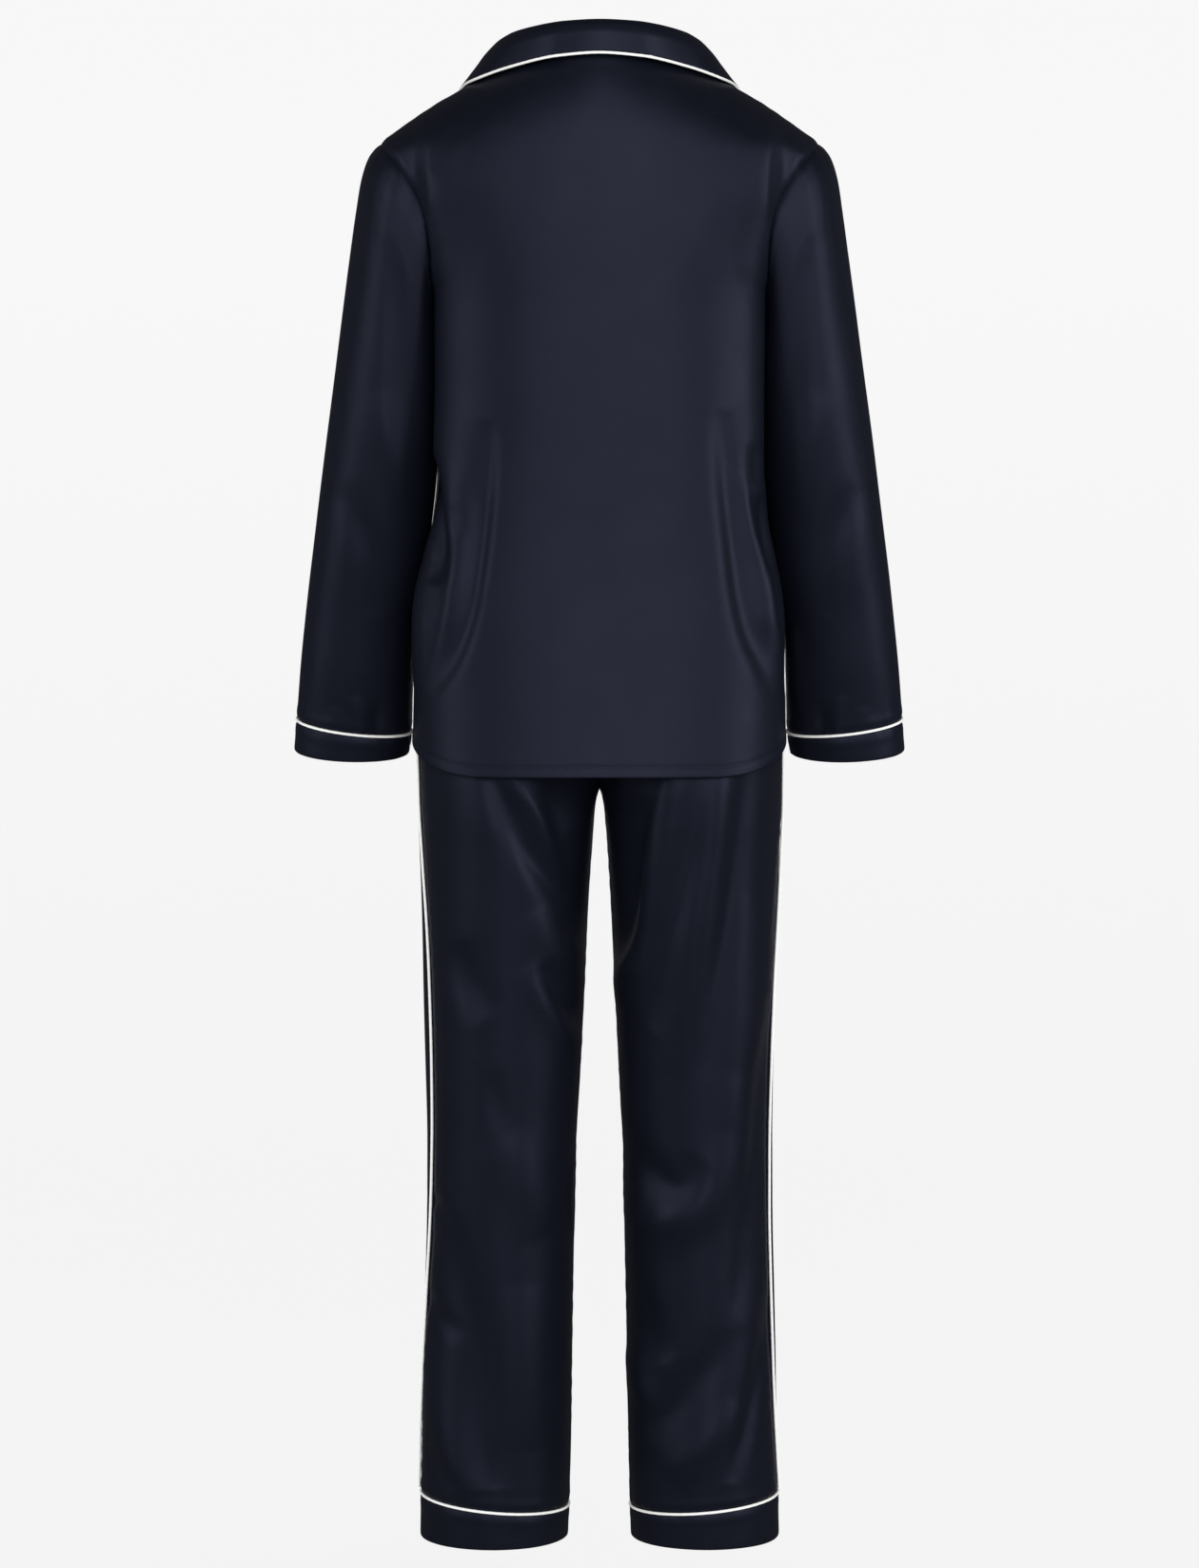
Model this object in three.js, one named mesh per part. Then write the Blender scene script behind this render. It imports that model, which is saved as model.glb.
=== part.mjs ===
// A satin pyjama set as it is worn: a long-sleeved shirt with a notched collar, and straight trousers.
// Millimetres, +Z up. The wearer faces -Y, and the wearer's left side is +X. The origin is the centre of
// the neck opening, level with the neck seam at the back. Each cloth piece is a thin wall.

import * as THREE from 'three';

// Cloth and trimming
const CLOTH = 1.2;
const COLLAR_CLOTH = 1.4;
const SEAM_GAP = 0.3;
// The least cosine between two sewn edges at which the cloth runs on over the seam
const RUNS_ON = 0.25;
const PIPING = 2.6;
const PIPING_SIDES = 6;
const PIPING_GAP = 0.5;

// Counts of strips across the pieces
const BACK_STRIPS = 20;
const NECK_STRIP = 6;
const FRONT_STRIPS = 9;
const LEG_STRIPS = 9;
const CUFF_STRIPS = 2;
const COLLAR_STATIONS = 14;

// Shirt
const ROUNDING = 3;
const ROOF_ROUNDING = 5;
const ARMPIT_Z = -220;
const SHOULDER_Z = -76;
const NECK_HALF = 78;
const PRESS_SPREAD = 38;
const FRONT_LAP = 13;
const LAP_STEP = 0.8;
const LAP_FLAT = 20;
const LAP_FADE = 50;
const HEM_CORNER_TURN = 56;
const HEM_CORNER_START = 4;

// Buttons on the front
const BUTTON_TOP_Z = -203;
const BUTTON_PITCH = 92;
const BUTTON_COUNT = 5;
const BUTTON_RADIUS = 5.75;
const BUTTON_HEIGHT = 2.6;
const BUTTON_STRIPS = 20;
// Half the outline of a button, as shares of its radius and height: a dished face inside a rounded rim
const BUTTON_SECTION = [
  { out: 0, up: 0 },
  { out: 0.8, up: 0 },
  { out: 1, up: 0.4 },
  { out: 1, up: 0.75 },
  { out: 0.86, up: 1 },
  { out: 0.68, up: 0.8 },
  { out: 0, up: 0.7 },
];

// Trousers
const CROTCH_Z = -675;
const WAISTBAND_TOP_Z = -358;
const LEG_SEAM_Z = -1337;
const LEG_END_Z = -1372;

// The shirt body level by level: half its width, its depth behind and before the side seams, and how far the
// arms press the side seam in.
const SHIRT_LEVELS = [
  { z: -660, half: 174, back: 118, front: 107, pressed: 0 },
  { z: -600, half: 174, back: 113, front: 104, pressed: 0 },
  { z: -518, half: 173.8, back: 107, front: 100, pressed: 0 },
  { z: -492, half: 170.2, back: 105, front: 99, pressed: 2 },
  { z: -460, half: 163.5, back: 103, front: 98, pressed: 5 },
  { z: -422, half: 161, back: 101.5, front: 98, pressed: 9 },
  { z: -348, half: 156.5, back: 100, front: 100, pressed: 11.5 },
  { z: -290, half: 155.5, back: 100, front: 102, pressed: 12 },
  { z: -220, half: 156, back: 100, front: 103, pressed: 12 },
  { z: -190, half: 163, back: 100, front: 103, pressed: 9 },
  { z: -155, half: 176, back: 99.5, front: 101, pressed: 5 },
  { z: -130, half: 190, back: 99, front: 98, pressed: 2 },
  { z: -103, half: 205, back: 98.5, front: 95, pressed: 0 },
  { z: -76, half: 222, back: 98, front: 92, pressed: 0 },
  { z: 60, half: 222, back: 98, front: 92, pressed: 0 },
];

// The shoulder line from the neck out to the sleeve, and where it would go on over the neck opening.
const RIDGE = [
  { x: 0, z: 44 },
  { x: 40, z: 23 },
  { x: 78, z: 0 },
  { x: 124, z: -25.5 },
  { x: 153, z: -42.5 },
  { x: 201, z: -76 },
  { x: 230, z: -100 },
];

// The rows of the shirt panels from hem to shoulder: the height and the turn in degrees of the row's end, on
// the side seam and then on the armhole, and the row's height at the middle of the back.
const SHIRT_ROWS = [
  { side: -623, turn: 0, mid: -655.6 },
  { side: -585, turn: 0, mid: -612 },
  { side: -545, turn: 0, mid: -568 },
  { side: -505, turn: 0, mid: -525 },
  { side: -470, turn: 0, mid: -482 },
  { side: -435, turn: 0, mid: -440 },
  { side: -395, turn: 0, mid: -398 },
  { side: -350, turn: 0, mid: -356 },
  { side: -305, turn: 0, mid: -315 },
  { side: -260, turn: 0, mid: -275 },
  { side: -220, turn: 0, mid: -236 },
  { side: -217, turn: 14, mid: -212 },
  { side: -208.5, turn: 24.5, mid: -186 },
  { side: -191, turn: 32, mid: -160 },
  { side: -168, turn: 35.5, mid: -133 },
  { side: -145, turn: 37, mid: -106 },
  { side: -122, turn: 37, mid: -80 },
  { side: -103.5, turn: 36.6, mid: -56 },
  { side: -89, turn: 35.9, mid: -34 },
  { side: -80.5, turn: 35.4, mid: -15 },
  { side: -77.6, turn: 35.3, mid: -6 },
  { side: -76, turn: 35.2, mid: 0 },
];
const ARMPIT_ROW = 10;

// The edge of a front from the neck down to where its lapel begins, measured from the middle of the wearer.
const NECKLINE = [
  { z: -190, x: -13 },
  { z: -140, x: 13 },
  { z: -90, x: 38 },
  { z: -44, x: 61 },
  { z: -22, x: 71 },
  { z: 0, x: 78 },
];

// A lapel from where it begins up to the seam with the collar: its height on the roll and its free edge.
const LAPEL_ROWS = [
  { rollZ: -187, edgeX: -6, edgeZ: -189.5 },
  { rollZ: -161, edgeX: 13, edgeZ: -186 },
  { rollZ: -132, edgeX: 50, edgeZ: -172 },
  { rollZ: -103, edgeX: 84, edgeZ: -150 },
  { rollZ: -74, edgeX: 108, edgeZ: -127 },
  { rollZ: -46, edgeX: 122, edgeZ: -106 },
];
const LAPEL_STRIPS = 5;
const LAPEL_LIFT = 1.3;
const LAPEL_FROM_EDGE = 1;
const COLLAR_SEAM_LIFT = 0.8;
// Small steps with which the direction of a front is found
const TURN_STEP = 0.02;
const HEIGHT_STEP = 2;

// The collar from the middle of the back to its front end: where the neck seam is (its x behind the
// shoulders, its height on the neckline before them), the roll, the free edge, and the dip of the notch.
const COLLAR = [
  { at: 0, seamX: 0, seamZ: 0, rollX: 0, rollY: 75, rollZ: 30.5,
    edgeX: 0, edgeY: 83, edgeZ: 1.6, dip: 0 },
  { at: 0.18, seamX: 30, seamZ: 0, rollX: 31, rollY: 70, rollZ: 29.6,
    edgeX: 37, edgeY: 78, edgeZ: -0.8, dip: 0 },
  { at: 0.36, seamX: 59, seamZ: 0, rollX: 63, rollY: 49, rollZ: 26,
    edgeX: 82, edgeY: 53, edgeZ: -9.4, dip: 0 },
  { at: 0.5, seamX: 75, seamZ: 0, rollX: 81, rollY: 21, rollZ: 22.5,
    edgeX: 112, edgeY: 30, edgeZ: -18.4, dip: 0 },
  { at: 0.6, seamX: 78, seamZ: 0, rollX: 86, rollY: 0, rollZ: 20,
    edgeX: 123.5, edgeY: 0, edgeZ: -21.8, dip: 0 },
  { at: 0.72, seamX: 78, seamZ: -5, rollX: 86, rollY: -31, rollZ: 11,
    edgeX: 131, edgeY: -34, edgeZ: -32, dip: 0 },
  { at: 0.88, seamX: 78, seamZ: -24, rollX: 79, rollY: -68, rollZ: -13,
    edgeX: 132, edgeY: -67, edgeZ: -55, dip: 0 },
  { at: 1, seamX: 78, seamZ: -43, rollX: 66, rollY: -80, rollZ: -46,
    edgeX: 128, edgeY: -79, edgeZ: -77, dip: 18 },
];
const COLLAR_NECK_AT = 0.6;
const COLLAR_NOTCH = 0.6;
const COLLAR_FLATTENS_AT = 0.7;
// Places across the collar, on the way from the seam up to the roll and from the roll down to the edge.
const COLLAR_SECTION = [
  { rise: 0, fall: 0, out: 0 },
  { rise: 0.5, fall: 0, out: -1.2 },
  { rise: 0.88, fall: 0, out: -1.6 },
  { rise: 1, fall: 0.05, out: 0 },
  { rise: 1, fall: 0.16, out: 2.8 },
  { rise: 1, fall: 0.38, out: 3.8 },
  { rise: 1, fall: COLLAR_NOTCH, out: 2.6 },
  { rise: 1, fall: 0.82, out: 1.2 },
  { rise: 1, fall: 1, out: 0 },
];

// The left sleeve ring by ring: its outer and inner points, the middle of its depth, half its depth, and how
// far its back hangs below its middle.
const SLEEVE_RINGS = [
  { outerX: 200.8, outerZ: -76, innerX: 144, innerZ: -220, midY: 0, depth: 60, drop: 0 },
  { outerX: 212, outerZ: -88, innerX: 146.5, innerZ: -237, midY: 0, depth: 62, drop: 0 },
  { outerX: 219.4, outerZ: -109, innerX: 146.8, innerZ: -256, midY: -1, depth: 62, drop: 0 },
  { outerX: 224.7, outerZ: -141, innerX: 146.9, innerZ: -280, midY: -2, depth: 60, drop: 0 },
  { outerX: 230.7, outerZ: -183, innerX: 147.4, innerZ: -308, midY: -4, depth: 58, drop: 0 },
  { outerX: 238.2, outerZ: -237, innerX: 148.6, innerZ: -343, midY: -7, depth: 56, drop: 1 },
  { outerX: 246.6, outerZ: -299, innerX: 151, innerZ: -383, midY: -11, depth: 54, drop: 2 },
  { outerX: 255.6, outerZ: -365, innerX: 156, innerZ: -428, midY: -17, depth: 51, drop: 3 },
  { outerX: 264.4, outerZ: -431, innerX: 167, innerZ: -476, midY: -23, depth: 48, drop: 4 },
  { outerX: 272.4, outerZ: -492, innerX: 175.5, innerZ: -521, midY: -30, depth: 44, drop: 5 },
  { outerX: 279, outerZ: -553, innerX: 176.6, innerZ: -572, midY: -36, depth: 41, drop: 6 },
];
// The seam of the cuff and its free end.
const CUFF_SEAM = {
  outerX: 283.6, outerZ: -609, innerX: 176.8, innerZ: -621, midY: -43, depth: 38, drop: 7.5,
};
const CUFF_END = {
  outerX: 286.4, outerZ: -638, innerX: 178.5, innerZ: -641, midY: -47, depth: 38, drop: 9,
};
// How much of the armhole's own outline each sleeve ring keeps, and how even its points have become.
const SLEEVE_BLEND = [
  { keeps: 1, even: 0 },
  { keeps: 0.72, even: 0.15 },
  { keeps: 0.42, even: 0.35 },
  { keeps: 0.2, even: 0.6 },
  { keeps: 0.08, even: 0.8 },
];

// A trouser leg level by level: the middle of its rounding and half its width, its depth behind and before,
// and how much higher its outer side lies than its middle.
const LEG_LEVELS = [
  { z: -1372, centre: 98.8, half: 69.4, back: 75, front: 75, cant: 0 },
  { z: -1337, centre: 97.9, half: 69.4, back: 76, front: 76, cant: 6 },
  { z: -1289, centre: 96.7, half: 69.5, back: 77, front: 77, cant: 3 },
  { z: -1218, centre: 95.3, half: 69.5, back: 78, front: 78, cant: 0 },
  { z: -1146, centre: 94.1, half: 69.2, back: 79, front: 79, cant: 0 },
  { z: -1074, centre: 92.5, half: 69, back: 80, front: 81, cant: 0 },
  { z: -1002, centre: 91.3, half: 69.6, back: 82, front: 83, cant: 0 },
  { z: -931, centre: 89.9, half: 72.1, back: 85, front: 85, cant: 0 },
  { z: -860, centre: 88.9, half: 74.6, back: 89, front: 87, cant: 0 },
  { z: -789, centre: 88.1, half: 77, back: 94, front: 90, cant: 0 },
  { z: -730, centre: 87.2, half: 79.8, back: 99, front: 93, cant: 0 },
  { z: -700, centre: 86.8, half: 81.5, back: 102, front: 94, cant: 0 },
  { z: -684, centre: 86.4, half: 83.2, back: 103, front: 95, cant: 0 },
  { z: -675, centre: 84.6, half: 84.6, back: 104, front: 95, cant: 0 },
  { z: -662, centre: 82.3, half: 86.7, back: 105, front: 95, cant: 0 },
  { z: -640, centre: 76.5, half: 92.6, back: 105, front: 95, cant: 0 },
  { z: -600, centre: 66, half: 103, back: 104, front: 94, cant: 0 },
  { z: -540, centre: 52, half: 116.5, back: 102, front: 92, cant: 0 },
  { z: -480, centre: 38, half: 122, back: 97, front: 89, cant: 0 },
  { z: -430, centre: 26, half: 117, back: 91, front: 86, cant: 0 },
  { z: -392, centre: 20, half: 112, back: 87, front: 84, cant: 0 },
  { z: -350, centre: 20, half: 111, back: 86, front: 84, cant: 0 },
];
const LEG_ROWS = [-392, -430, -480, -540, -600, -640, -662, -675, -684, -700, -730, -789, -860, -931, -1002,
  -1074, -1146, -1218, -1289, -1337];
const CROTCH_ROW = 7;

// Where the outer seam of each leg lies, in degrees from its outermost line towards the back.
const OUTSEAM = [
  { z: -1372, left: -9, right: -2 },
  { z: -1285, left: -9, right: 7 },
  { z: -1235, left: -8, right: 15 },
  { z: -1180, left: 0, right: 21 },
  { z: -1125, left: 10, right: 18 },
  { z: -1085, left: 14, right: 6 },
  { z: -1060, left: 15, right: -3 },
  { z: -1020, left: 16, right: 3 },
  { z: -915, left: 20, right: 9 },
  { z: -845, left: 20, right: 13 },
  { z: -800, left: 18, right: 0 },
  { z: -736, left: 16, right: -6 },
  { z: -640, left: 12, right: -6 },
  { z: -560, left: 4, right: -3 },
  { z: -392, left: 0, right: 0 },
];

// How bluntly a fold ends, and how a leg's folds die out at its side seams
const FOLD_END = 0.6;
const SEAM_CALM = 0.5;
// The largest folds: where each runs on the face (+1 the back, -1 the front), its half width and its height,
// which is below zero for a trough.
const SHIRT_FOLDS = [
  { face: 1, fromX: 104, fromZ: -405, viaX: 110, viaZ: -496, toX: 150, toZ: -582, width: 15, height: -5 },
  { face: 1, fromX: 121, fromZ: -410, viaX: 134, viaZ: -505, toX: 160, toZ: -590, width: 14, height: 5 },
  { face: 1, fromX: -130, fromZ: -375, viaX: -148, viaZ: -470, toX: -162, toZ: -560, width: 14, height: 5 },
  { face: 1, fromX: -106, fromZ: -400, viaX: -121, viaZ: -496, toX: -146, toZ: -585, width: 16, height: -5 },
  { face: -1, fromX: 96, fromZ: -300, viaX: 112, viaZ: -420, toX: 140, toZ: -560, width: 17, height: 5 },
  { face: -1, fromX: -100, fromZ: -320, viaX: -116, viaZ: -440, toX: -142, toZ: -580, width: 17, height: 5 },
];
const LEG_FOLDS = [
  { face: 1, fromX: 84, fromZ: -648, viaX: 57, viaZ: -695, toX: 33, toZ: -765, width: 10, height: 4.5 },
  { face: 1, fromX: 100, fromZ: -655, viaX: 76, viaZ: -712, toX: 44, toZ: -785, width: 11, height: -4 },
  { face: 1, fromX: -66, fromZ: -640, viaX: -48, viaZ: -765, toX: -21, toZ: -882, width: 11, height: 4.9 },
  { face: 1, fromX: -92, fromZ: -645, viaX: -88, viaZ: -740, toX: -80, toZ: -850, width: 13, height: 3 },
  { face: 1, fromX: -122, fromZ: -650, viaX: -115, viaZ: -750, toX: -108, toZ: -880, width: 15, height: -4 },
  { face: 1, fromX: 137, fromZ: -1150, viaX: 122, viaZ: -1254, toX: 102, toZ: -1330, width: 11, height: -4 },
  { face: -1, fromX: 40, fromZ: -690, viaX: 76, viaZ: -730, toX: 118, toZ: -735, width: 13, height: 4.5 },
  { face: -1, fromX: -42, fromZ: -695, viaX: -80, viaZ: -740, toX: -120, toZ: -750, width: 13, height: 4.5 },
  { face: -1, fromX: 104, fromZ: -980, viaX: 98, viaZ: -1120, toX: 92, toZ: -1290, width: 16, height: 4 },
  { face: -1, fromX: -100, fromZ: -960, viaX: -104, viaZ: -1110, toX: -92, toZ: -1280, width: 16, height: 4 },
];

const satin = (colour) => new THREE.MeshStandardMaterial({ color: colour, roughness: 0.42, metalness: 0 });
const COLOURS = { shirt: 0x1b1e2b, trousers: 0x181b27, trim: 0xf1f1ef, button: 0x1a1c28 };

const lerp = THREE.MathUtils.lerp;
const smooth = (at, from, to) => THREE.MathUtils.smoothstep(at, from, to);
const radians = THREE.MathUtils.degToRad;

/** A smooth reading of a table: a cubic through its rows that never overshoots them. */
function reader(rows, key) {
  const order = [...rows].sort((a, b) => a[key] - b[key]);
  const slopes = {};
  const slopesOf = (column) => {
    if (slopes[column]) return slopes[column];
    const rise = order.slice(1).map((row, i) => {
      const before = order[i];
      return (row[column] - before[column]) / (row[key] - before[key]);
    });
    slopes[column] = order.map((row, i) => {
      if (i === 0) return rise[0];
      if (i === order.length - 1) return rise[i - 1];
      const same = rise[i - 1] * rise[i] > 0;
      return same ? (2 * rise[i - 1] * rise[i]) / (rise[i - 1] + rise[i]) : 0;
    });
    return slopes[column];
  };
  return (at, column) => {
    const last = order.length - 2;
    let i = order.findIndex((row) => row[key] > at) - 1;
    if (i === -2 || i > last) i = last;
    if (i < 0) i = 0;
    const [a, b] = [order[i], order[i + 1]];
    const span = b[key] - a[key];
    const t = THREE.MathUtils.clamp((at - a[key]) / span, 0, 1);
    const slope = slopesOf(column);
    const t2 = t * t;
    const t3 = t2 * t;
    return (2 * t3 - 3 * t2 + 1) * a[column] + (t3 - 2 * t2 + t) * span * slope[i]
      + (3 * t2 - 2 * t3) * b[column] + (t3 - t2) * span * slope[i + 1];
  };
}

const shirt = reader(SHIRT_LEVELS, 'z');
const ridge = reader(RIDGE, 'x');
const neckline = reader(NECKLINE, 'z');
const leg = reader(LEG_LEVELS, 'z');
const outseam = reader(OUTSEAM, 'z');
const collarAt = reader(COLLAR, 'at');

/** The height of all the folds of a table at one place of a face: each is a rounded bank along two lines. */
function foldHeight(folds, face, x, z) {
  let total = 0;
  for (const fold of folds) {
    if (fold.face !== face) continue;
    const route = [
      new THREE.Vector2(fold.fromX, fold.fromZ),
      new THREE.Vector2(fold.viaX, fold.viaZ),
      new THREE.Vector2(fold.toX, fold.toZ),
    ];
    let nearest = Infinity;
    let along = 0;
    for (const part of [0, 1]) {
      const line = route[part + 1].clone().sub(route[part]);
      const offset = new THREE.Vector2(x, z).sub(route[part]);
      const t = THREE.MathUtils.clamp(offset.dot(line) / line.lengthSq(), 0, 1);
      const distance = offset.addScaledVector(line, -t).length();
      if (distance < nearest) {
        nearest = distance;
        along = (part + t) / 2;
      }
    }
    total += fold.height * Math.exp(-((nearest / fold.width) ** 2)) * Math.sin(Math.PI * along) ** FOLD_END;
  }
  return total;
}

/** The turn from the side seam (0) to the middle (90 degrees) at which a shirt level is x off the middle. */
function turnFor(x, z) {
  if (x <= 0) return Math.PI - turnFor(Math.max(-x, 0.001), z);
  const ratio = shirt(z, 'half') / x;
  return Math.atan(Math.max(ratio ** ROUNDING - 1, 0) ** (1 / ROUNDING));
}

/**
 * A point of the shirt's surface. Each level is a rounded rectangle, x^3 + y^3 = 1 in its own half width and
 * depth, and over the armpit it closes towards the shoulder line, as a roof does.
 */
function shirtPoint(side, turn, z, face) {
  const cosine = Math.cos(turn);
  const sine = Math.sin(turn);
  const reach = (Math.abs(cosine) ** ROUNDING + Math.abs(sine) ** ROUNDING) ** (-1 / ROUNDING);
  const half = shirt(z, 'half');
  const depth = shirt(z, face > 0 ? 'back' : 'front');
  const x = half * reach * cosine;
  const height = THREE.MathUtils.clamp((z - ARMPIT_Z) / (ridge(Math.abs(x), 'z') - ARMPIT_Z), 0, 1);
  const roof = Math.sqrt(1 - height ** ROOF_ROUNDING);
  const y = depth * reach * sine * roof;
  const pressed = shirt(z, 'pressed') * Math.exp(-((y / PRESS_SPREAD) ** 2));
  const outward = new THREE.Vector2(x / half ** 2, y / depth ** 2).normalize();
  const fold = foldHeight(SHIRT_FOLDS, face, side * x, z);
  const across = x - pressed + fold * outward.x;
  return new THREE.Vector3(side * across, face * (y + fold * outward.y), z);
}

/** A point of a front, which lies over or under the other one where the two lap at the middle. */
function frontPoint(side, turn, z) {
  const point = shirtPoint(side, turn, z, -1);
  const lap = LAP_STEP * (1 - smooth(Math.abs(point.x), LAP_FLAT, LAP_FADE));
  point.y += side * lap;
  return point;
}

/** The height of a shirt row at a place between its end (0) and the middle of the wearer (1). */
function rowHeight(row, turn, inTopRow) {
  const spread = smooth(THREE.MathUtils.radToDeg(turn), HEM_CORNER_START, HEM_CORNER_TURN);
  const blend = smooth(row, ARMPIT_ROW - 2, SHIRT_ROWS.length - 1);
  const weight = lerp(spread, inTopRow, blend);
  return lerp(SHIRT_ROWS[row].side, SHIRT_ROWS[row].mid, weight);
}

/** A place in the top row: along the shoulder line from the sleeve in, and then level round the neck. */
function topPlace(turn) {
  const half = shirt(SHOULDER_Z, 'half');
  const reach = (Math.cos(turn) ** ROUNDING + Math.sin(turn) ** ROUNDING) ** (-1 / ROUNDING);
  const x = half * reach * Math.cos(turn);
  const z = x > NECK_HALF ? ridge(x, 'z') : 0;
  return (z - SHOULDER_Z) / (0 - SHOULDER_Z);
}

/** The even places across a row, bent so that in the top row one of them is the neck point. */
function placeAcross(step, steps, neckPlace, row) {
  const even = step / steps;
  const bent = step <= NECK_STRIP
    ? (neckPlace * step) / NECK_STRIP
    : lerp(neckPlace, 1, (step - NECK_STRIP) / (steps - NECK_STRIP));
  return lerp(even, bent, smooth(row, ARMPIT_ROW, SHIRT_ROWS.length - 1));
}

/** A sheet of points in rows, with the outward direction at each. */
class Sheet {
  constructor(rows, { closed = false, flip = false } = {}) {
    this.rows = rows;
    this.closed = closed;
    this.flip = flip;
    this.outward = rows.map((row, i) => row.map((point, j) => this.direction(i, j)));
  }

  at(i, j) {
    const row = this.rows[THREE.MathUtils.clamp(i, 0, this.rows.length - 1)];
    const count = row.length;
    return this.closed ? row[(j + count) % count] : row[THREE.MathUtils.clamp(j, 0, count - 1)];
  }

  direction(i, j) {
    const across = this.at(i, j + 1).clone().sub(this.at(i, j - 1));
    const along = this.at(i + 1, j).clone().sub(this.at(i - 1, j));
    const normal = across.cross(along).normalize();
    return this.flip ? normal.negate() : normal;
  }

  /** One edge as a list of places: a point, its outward direction and its neighbour inside the sheet. */
  edge(name) {
    const lastRow = this.rows.length - 1;
    const lastColumn = this.rows[0].length - 1;
    const place = (i, j, inI, inJ) => ({
      point: this.rows[i][j], outward: this.outward[i][j], inside: this.rows[inI][inJ],
    });
    if (name === 'bottom') return this.rows[0].map((_, j) => place(0, j, 1, j));
    if (name === 'top') return this.rows[lastRow].map((_, j) => place(lastRow, j, lastRow - 1, j));
    if (name === 'start') return this.rows.map((_, i) => place(i, 0, i, 1));
    return this.rows.map((_, i) => place(i, lastColumn, i, lastColumn - 1));
  }
}

/** Sews two edges: both get one thickness direction where the cloth runs on, and half the seam's gap each. */
function sew(edgeA, edgeB) {
  edgeA.forEach((a, k) => {
    const b = edgeB[k];
    if (a.outward.dot(b.outward) > RUNS_ON) {
      const shared = a.outward.clone().add(b.outward).normalize();
      a.outward.copy(shared);
      b.outward.copy(shared);
    }
    const apart = b.inside.clone().sub(b.point).normalize().sub(a.inside.clone().sub(a.point).normalize());
    apart.setLength(SEAM_GAP / 2);
    a.point.sub(apart);
    b.point.add(apart);
  });
}

/** Turns the cloth's directions along a shoulder seam to stand square on the shoulder line. */
function faceUp(edge) {
  edge.forEach(({ outward }, k) => {
    const line = edge[Math.min(k + 1, edge.length - 1)].point.clone().sub(edge[Math.max(k - 1, 0)].point);
    outward.set(line.z, 0, -line.x).normalize();
    if (outward.z < 0) outward.negate();
  });
}

/** Moves an edge back into its own sheet, to leave room for what is sewn on there. */
function trim(edge, amount) {
  for (const { point, inside } of edge) {
    point.add(inside.clone().sub(point).setLength(amount));
  }
}

/** The closed wall of a sheet: its outer face, its inner face one thickness in, and its rims. */
function wallGeometry(sheet, thickness) {
  const rows = sheet.rows.length;
  const columns = sheet.rows[0].length;
  const positions = [];
  for (const depth of [0, thickness]) {
    sheet.rows.forEach((row, i) => row.forEach((point, j) => {
      positions.push(...point.clone().addScaledVector(sheet.outward[i][j], -depth).toArray());
    }));
  }
  const inner = rows * columns;
  const indices = [];
  const quad = (a, b, c, d) => {
    if (sheet.flip) indices.push(a, c, b, a, d, c);
    else indices.push(a, b, c, a, c, d);
  };
  const strips = sheet.closed ? columns : columns - 1;
  for (let i = 0; i < rows - 1; i += 1) {
    for (let j = 0; j < strips; j += 1) {
      const next = (j + 1) % columns;
      const [low, high] = [i * columns, (i + 1) * columns];
      const [a, b, c, d] = [low + j, low + next, high + next, high + j];
      quad(a, b, c, d);
      quad(inner + a, inner + d, inner + c, inner + b);
    }
  }
  for (let j = 0; j < strips; j += 1) {
    const next = (j + 1) % columns;
    const top = (rows - 1) * columns;
    quad(inner + j, inner + next, next, j);
    quad(top + j, top + next, inner + top + next, inner + top + j);
  }
  if (!sheet.closed) {
    for (let i = 0; i < rows - 1; i += 1) {
      const [low, high] = [i * columns, (i + 1) * columns];
      const [lowEnd, highEnd] = [low + columns - 1, high + columns - 1];
      quad(inner + low, low, high, inner + high);
      quad(lowEnd, inner + lowEnd, inner + highEnd, highEnd);
    }
  }
  const geometry = new THREE.BufferGeometry();
  geometry.setAttribute('position', new THREE.Float32BufferAttribute(positions, 3));
  geometry.setIndex(indices);
  geometry.computeVertexNormals();
  return geometry;
}

const group = new THREE.Group();
group.name = 'pyjama_set';

function add(name, geometry, colour) {
  const mesh = new THREE.Mesh(geometry, satin(colour));
  mesh.name = name;
  group.add(mesh);
  return mesh;
}

/** Piping through a list of points: a closed ring, or a cord with flat ends. */
function addPiping(name, points, closed = false) {
  const curve = new THREE.CatmullRomCurve3(points, closed, 'centripetal');
  const steps = closed ? points.length : points.length - 1;
  if (closed) {
    add(name, new THREE.TubeGeometry(curve, steps, PIPING / 2, PIPING_SIDES, true), COLOURS.trim);
    return;
  }
  const round = new THREE.Shape();
  for (let k = 0; k < PIPING_SIDES; k += 1) {
    const turn = (2 * Math.PI * k) / PIPING_SIDES;
    const place = [(PIPING / 2) * Math.cos(turn), (PIPING / 2) * Math.sin(turn)];
    if (k === 0) round.moveTo(...place);
    else round.lineTo(...place);
  }
  const settings = { steps: steps * 2, extrudePath: curve, bevelEnabled: false };
  add(name, new THREE.ExtrudeGeometry(round, settings), COLOURS.trim);
}

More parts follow.
